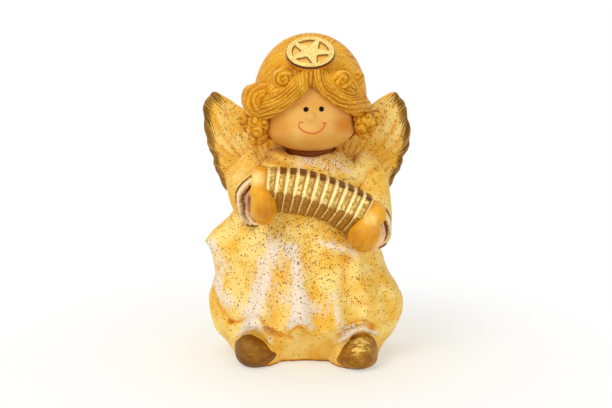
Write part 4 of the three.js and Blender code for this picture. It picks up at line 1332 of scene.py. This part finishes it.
handSet = {
    "grain": 0.34,
    "rounds": 10,
    "swell": 0.2,
    "melt": 60,  # rounds in which hand and board run together
    "regain": 0.5,  # mm
    "shape": {  # share of the width, of the height, and of the height over a level in mm
        "left": (0.86, 0.97, 0.84, 76.7),
        "right": (1.0, 0.91, 0.86, 58.0),
    },
    "tones": {  # photo pixels: middle and reach, and the paint there: ridge a painted highlight, groove painted shade
        "left": [((255, 178), 11, "ridge", 1.4), ((264, 214), 12, "groove", 0.5),
                 ((256, 200), 7, "ridge", 0.5)],
        "right": [((370, 218), 11, "ridge", 1.3), ((360, 248), 11, "groove", 0.5),
                  ((352, 232), 8, "groove", 0.35)],
    },
    "strokes": {  # fingers and knuckles: route in photo pixels, reach, mm out, and groove, the painted shade in it
        "left": [
            ([(259.5, 197), (258.5, 207), (260, 217)], 1.3, -0.13, 0.16),
            ([(266, 197), (266, 208), (267, 219)], 1.3, -0.13, 0.16),
            ([(271.5, 199), (272.5, 208), (273, 216)], 1.2, -0.13, 0.16),
            ([(252, 193), (259, 195), (266, 194)], 5, 1.2, 0),
            ([(254, 222), (264, 226), (275, 221)], 5, -1.2, 0),
        ],
        "right": [
            ([(352, 243), (358, 234), (366, 224), (373, 214)], 1.5, -0.13, 0.15),
            ([(360, 247), (366, 238), (374, 227)], 1.5, -0.13, 0.15),
            ([(367, 249), (373, 241), (379, 231)], 1.4, -0.13, 0.12),
            ([(356, 220), (368, 226), (382, 232)], 7, 1.2, 0),
            ([(352, 253), (363, 257), (373, 254)], 5, -1.2, 0),
            ([(379, 214), (384, 224), (384, 236)], 6, 1.6, 0),
        ],
    },
}


def makeHands(side, paint):
    boardNode = "end_board_" + side
    hand = Clay("hand_" + side, handSet, also=(boardNode,))
    board = Clay(boardNode, boardSet)
    hand.melt(handSet["melt"], np.ones(len(hand.co)))
    hand.push(handSet["regain"])
    centre = hand.co[:, 0].mean()
    top = hand.co[:, 2].max()
    slim, squash, block, level = handSet["shape"][side]
    for form in (hand, board):
        form.co[:, 0] = centre + (form.co[:, 0] - centre) * slim
        form.co[:, 2] = top + (form.co[:, 2] - top) * squash
        form.co[:, 2] -= np.maximum(form.co[:, 2] - level * mm, 0) * (1 - block)
        form.blank("groove", "ridge")
    sculpt(hand, [("groove", handSet["strokes"][side])])
    pixels = hand.pixels()
    for middle, reach, name, amount in handSet["tones"][side]:
        hand.marks[name] += amount * spot(pixels, middle, reach)
    hand.finish(paint, "hair_paint")
    board.finish(paint, "hair_paint")


def makeArms():
    sleevePaint = dressPaint("sleevePaint", trimmed=True)
    liningCream = liningPaint("liningCream")
    amberHands = handPaint("amberHands")
    for side, sign in sides.items():
        makeWing(side, sign, sleevePaint)
        makeSleeve(side, sign, sleevePaint)
        makeCuff(side, sign, liningCream)
        makeHands(side, amberHands)
    print("wings and arms made")


makeArms()


# Bellows

bellowsSet = {
    "grain": 0.33,
    "rounds": 8,
    "swell": 0.1,
    "start": (-16.4, 77.0),  # mm: the raised end of the middle line
    "heading": -0.07,  # radians over level at that end
    "bend": 0.47,  # radians from end to end
    "length": 41.4,
    "height": 19.0,
    "pleats": 11,
    "crest": 0.58,  # its place, as a share of the pitch
    "groove": (0.25, 0.34),  # half its width, inside and out
    "lowThin": 0.06,  # thinner in the lower half
    "fill": 0.9,  # mm of paint in the grooves
    "fillRounds": 14,
    "rise": (1.7, 7, 3),  # mm the lower edge is drawn up, and at which pleats
    "dip": (1.3, 4),  # mm the upper edge is drawn down, and up to which pleat
    "top": (0.42, 0.48),  # the tops over this share of the height get painted brown shade
    "ridge": 0.02,  # and what is under the front ridge gets painted olive shade
    "blur": 0.03,
    "shade": (0.02, 0.24),  # past a crest, as shares of the pitch
    "first": (0.9, 1.05),  # pleats from the raised end: pale
}


def makeBellows(look):
    bellows = Clay("bellows", look, "bellowsPleats")
    marks = bellows.marks
    heading = look["heading"]
    radius = look["length"] / look["bend"]
    middle = np.array(look["start"]) - radius * np.array((-math.sin(heading), math.cos(heading)))
    x = bellows.co[:, 0] / mm - middle[0]
    z = bellows.co[:, 2] / mm - middle[1]
    along = (heading + math.pi / 2 - np.arctan2(z, x)) / look["bend"] * look["pleats"]
    share = (np.hypot(x, z) - radius) / look["height"]
    rise, pleat, reach = look["rise"]
    dip, end = look["dip"]
    up = rise * smoothStep(-share, 0, 0.5) * bell(along - pleat, reach)
    down = dip * smoothStep(share, 0, 0.5) * fall(along, 0, end)
    bellows.co[:, 2] += (up - down) * mm
    fromCrest = along - look["crest"] - np.round(along - look["crest"])
    narrow, wide = look["groove"]
    thin = look["lowThin"] * fall(share, -0.05, 0.05)
    valley = smoothStep(np.abs(fromCrest), narrow + thin, wide + thin)
    bellows.push(look["fill"] * valley)
    bellows.melt(look["fillRounds"], valley)
    marks["groove"] = valley
    # painted shade on the tops and lower faces
    marks["top"] = smoothStep(share, *look["top"])
    ragged = 0.03 * np.sin(7 * np.floor(along + 1 - look["crest"])) + 0.012 * np.sin(9 * along)
    ridge = look["ridge"] + ragged
    marks["under"] = fall(share, ridge - look["blur"], ridge + look["blur"])
    marks["shade"] = smoothStep(fromCrest, *look["shade"]) * (1 - valley)
    marks["first"] = fall(along, *look["first"])
    bellows.finish(bellowsPaint("bellowsGold"), "gold_paint")


makeBellows(bellowsSet)


# Shoes

shoeSet = {
    "halves": (9.3, 12.4),  # mm
    "rise": {"left": 9.4, "right": 11.2},  # mm over the middle
    "drop": {"left": 6.6, "right": 4.8},  # and under it: the sole is rounded up at the toe
    "middles": {"left": (-20.7, -13.3, 4.8), "right": (20.9, -16.2, 3.6)},
    "turn": 0.24,  # radians, toes apart
    "lean": {"left": -0.24, "right": 0.16},  # the crown of the dome lies to one side
    "lit": {"left": ((262, 343), 9), "right": ((360, 345), 11)},  # photo pixels: middle and reach
    "glint": {"left": 0.3, "right": 1.0},
    "shade": {"left": 0.55, "right": 0.0},
    "sole": (0.3, 1.3),  # mm up: the painted contact shadow along the ground ends here
    "steps": (96, 64),
}


def makeShoe(side, sign, paint):
    look = shoeSet
    around, up = look["steps"]
    bm = bmesh.new()
    bmesh.ops.create_uvsphere(bm, u_segments=around, v_segments=up, radius=mm)
    bmesh.ops.scale(bm, vec=(*look["halves"], look["rise"][side]), verts=bm.verts)
    bmesh.ops.rotate(bm, matrix=Matrix.Rotation(sign * look["turn"], 3, "Z"), verts=bm.verts)
    for vertex in bm.verts:
        vertex.co.x += look["lean"][side] * max(vertex.co.z, 0)
        if vertex.co.z < 0:
            vertex.co.z *= look["drop"][side] / look["rise"][side]
    bmesh.ops.translate(bm, vec=Vector(look["middles"][side]) * mm, verts=bm.verts)
    ground = bmesh.ops.bisect_plane(bm, geom=bm.verts[:] + bm.edges[:] + bm.faces[:], plane_co=(0, 0, 0),
                                    plane_no=(0, 0, -1), clear_outer=True)
    rim = [item for item in ground["geom_cut"] if isinstance(item, bmesh.types.BMEdge)]
    bmesh.ops.contextual_create(bm, geom=rim)
    bmesh.ops.recalc_face_normals(bm, faces=bm.faces)
    node = "shoe_" + side
    mesh = toMesh(pieceName(node), bm)
    places = np.array([tuple(vertex.co) for vertex in mesh.vertices])
    sole = fall(places[:, 2] / mm, *look["sole"])
    lit = look["glint"][side] * spot(toPixels(places), *look["lit"][side])
    addMarks(mesh, {"lit": lit, "shade": np.maximum(look["shade"][side], sole)})
    settle(addObject(mesh.name, mesh), paint, node)


def makeShoes():
    shoeGold = shoePaint("shoeGold")
    for side, sign in sides.items():
        makeShoe(side, sign, shoeGold)
    print("shoes made")


makeShoes()
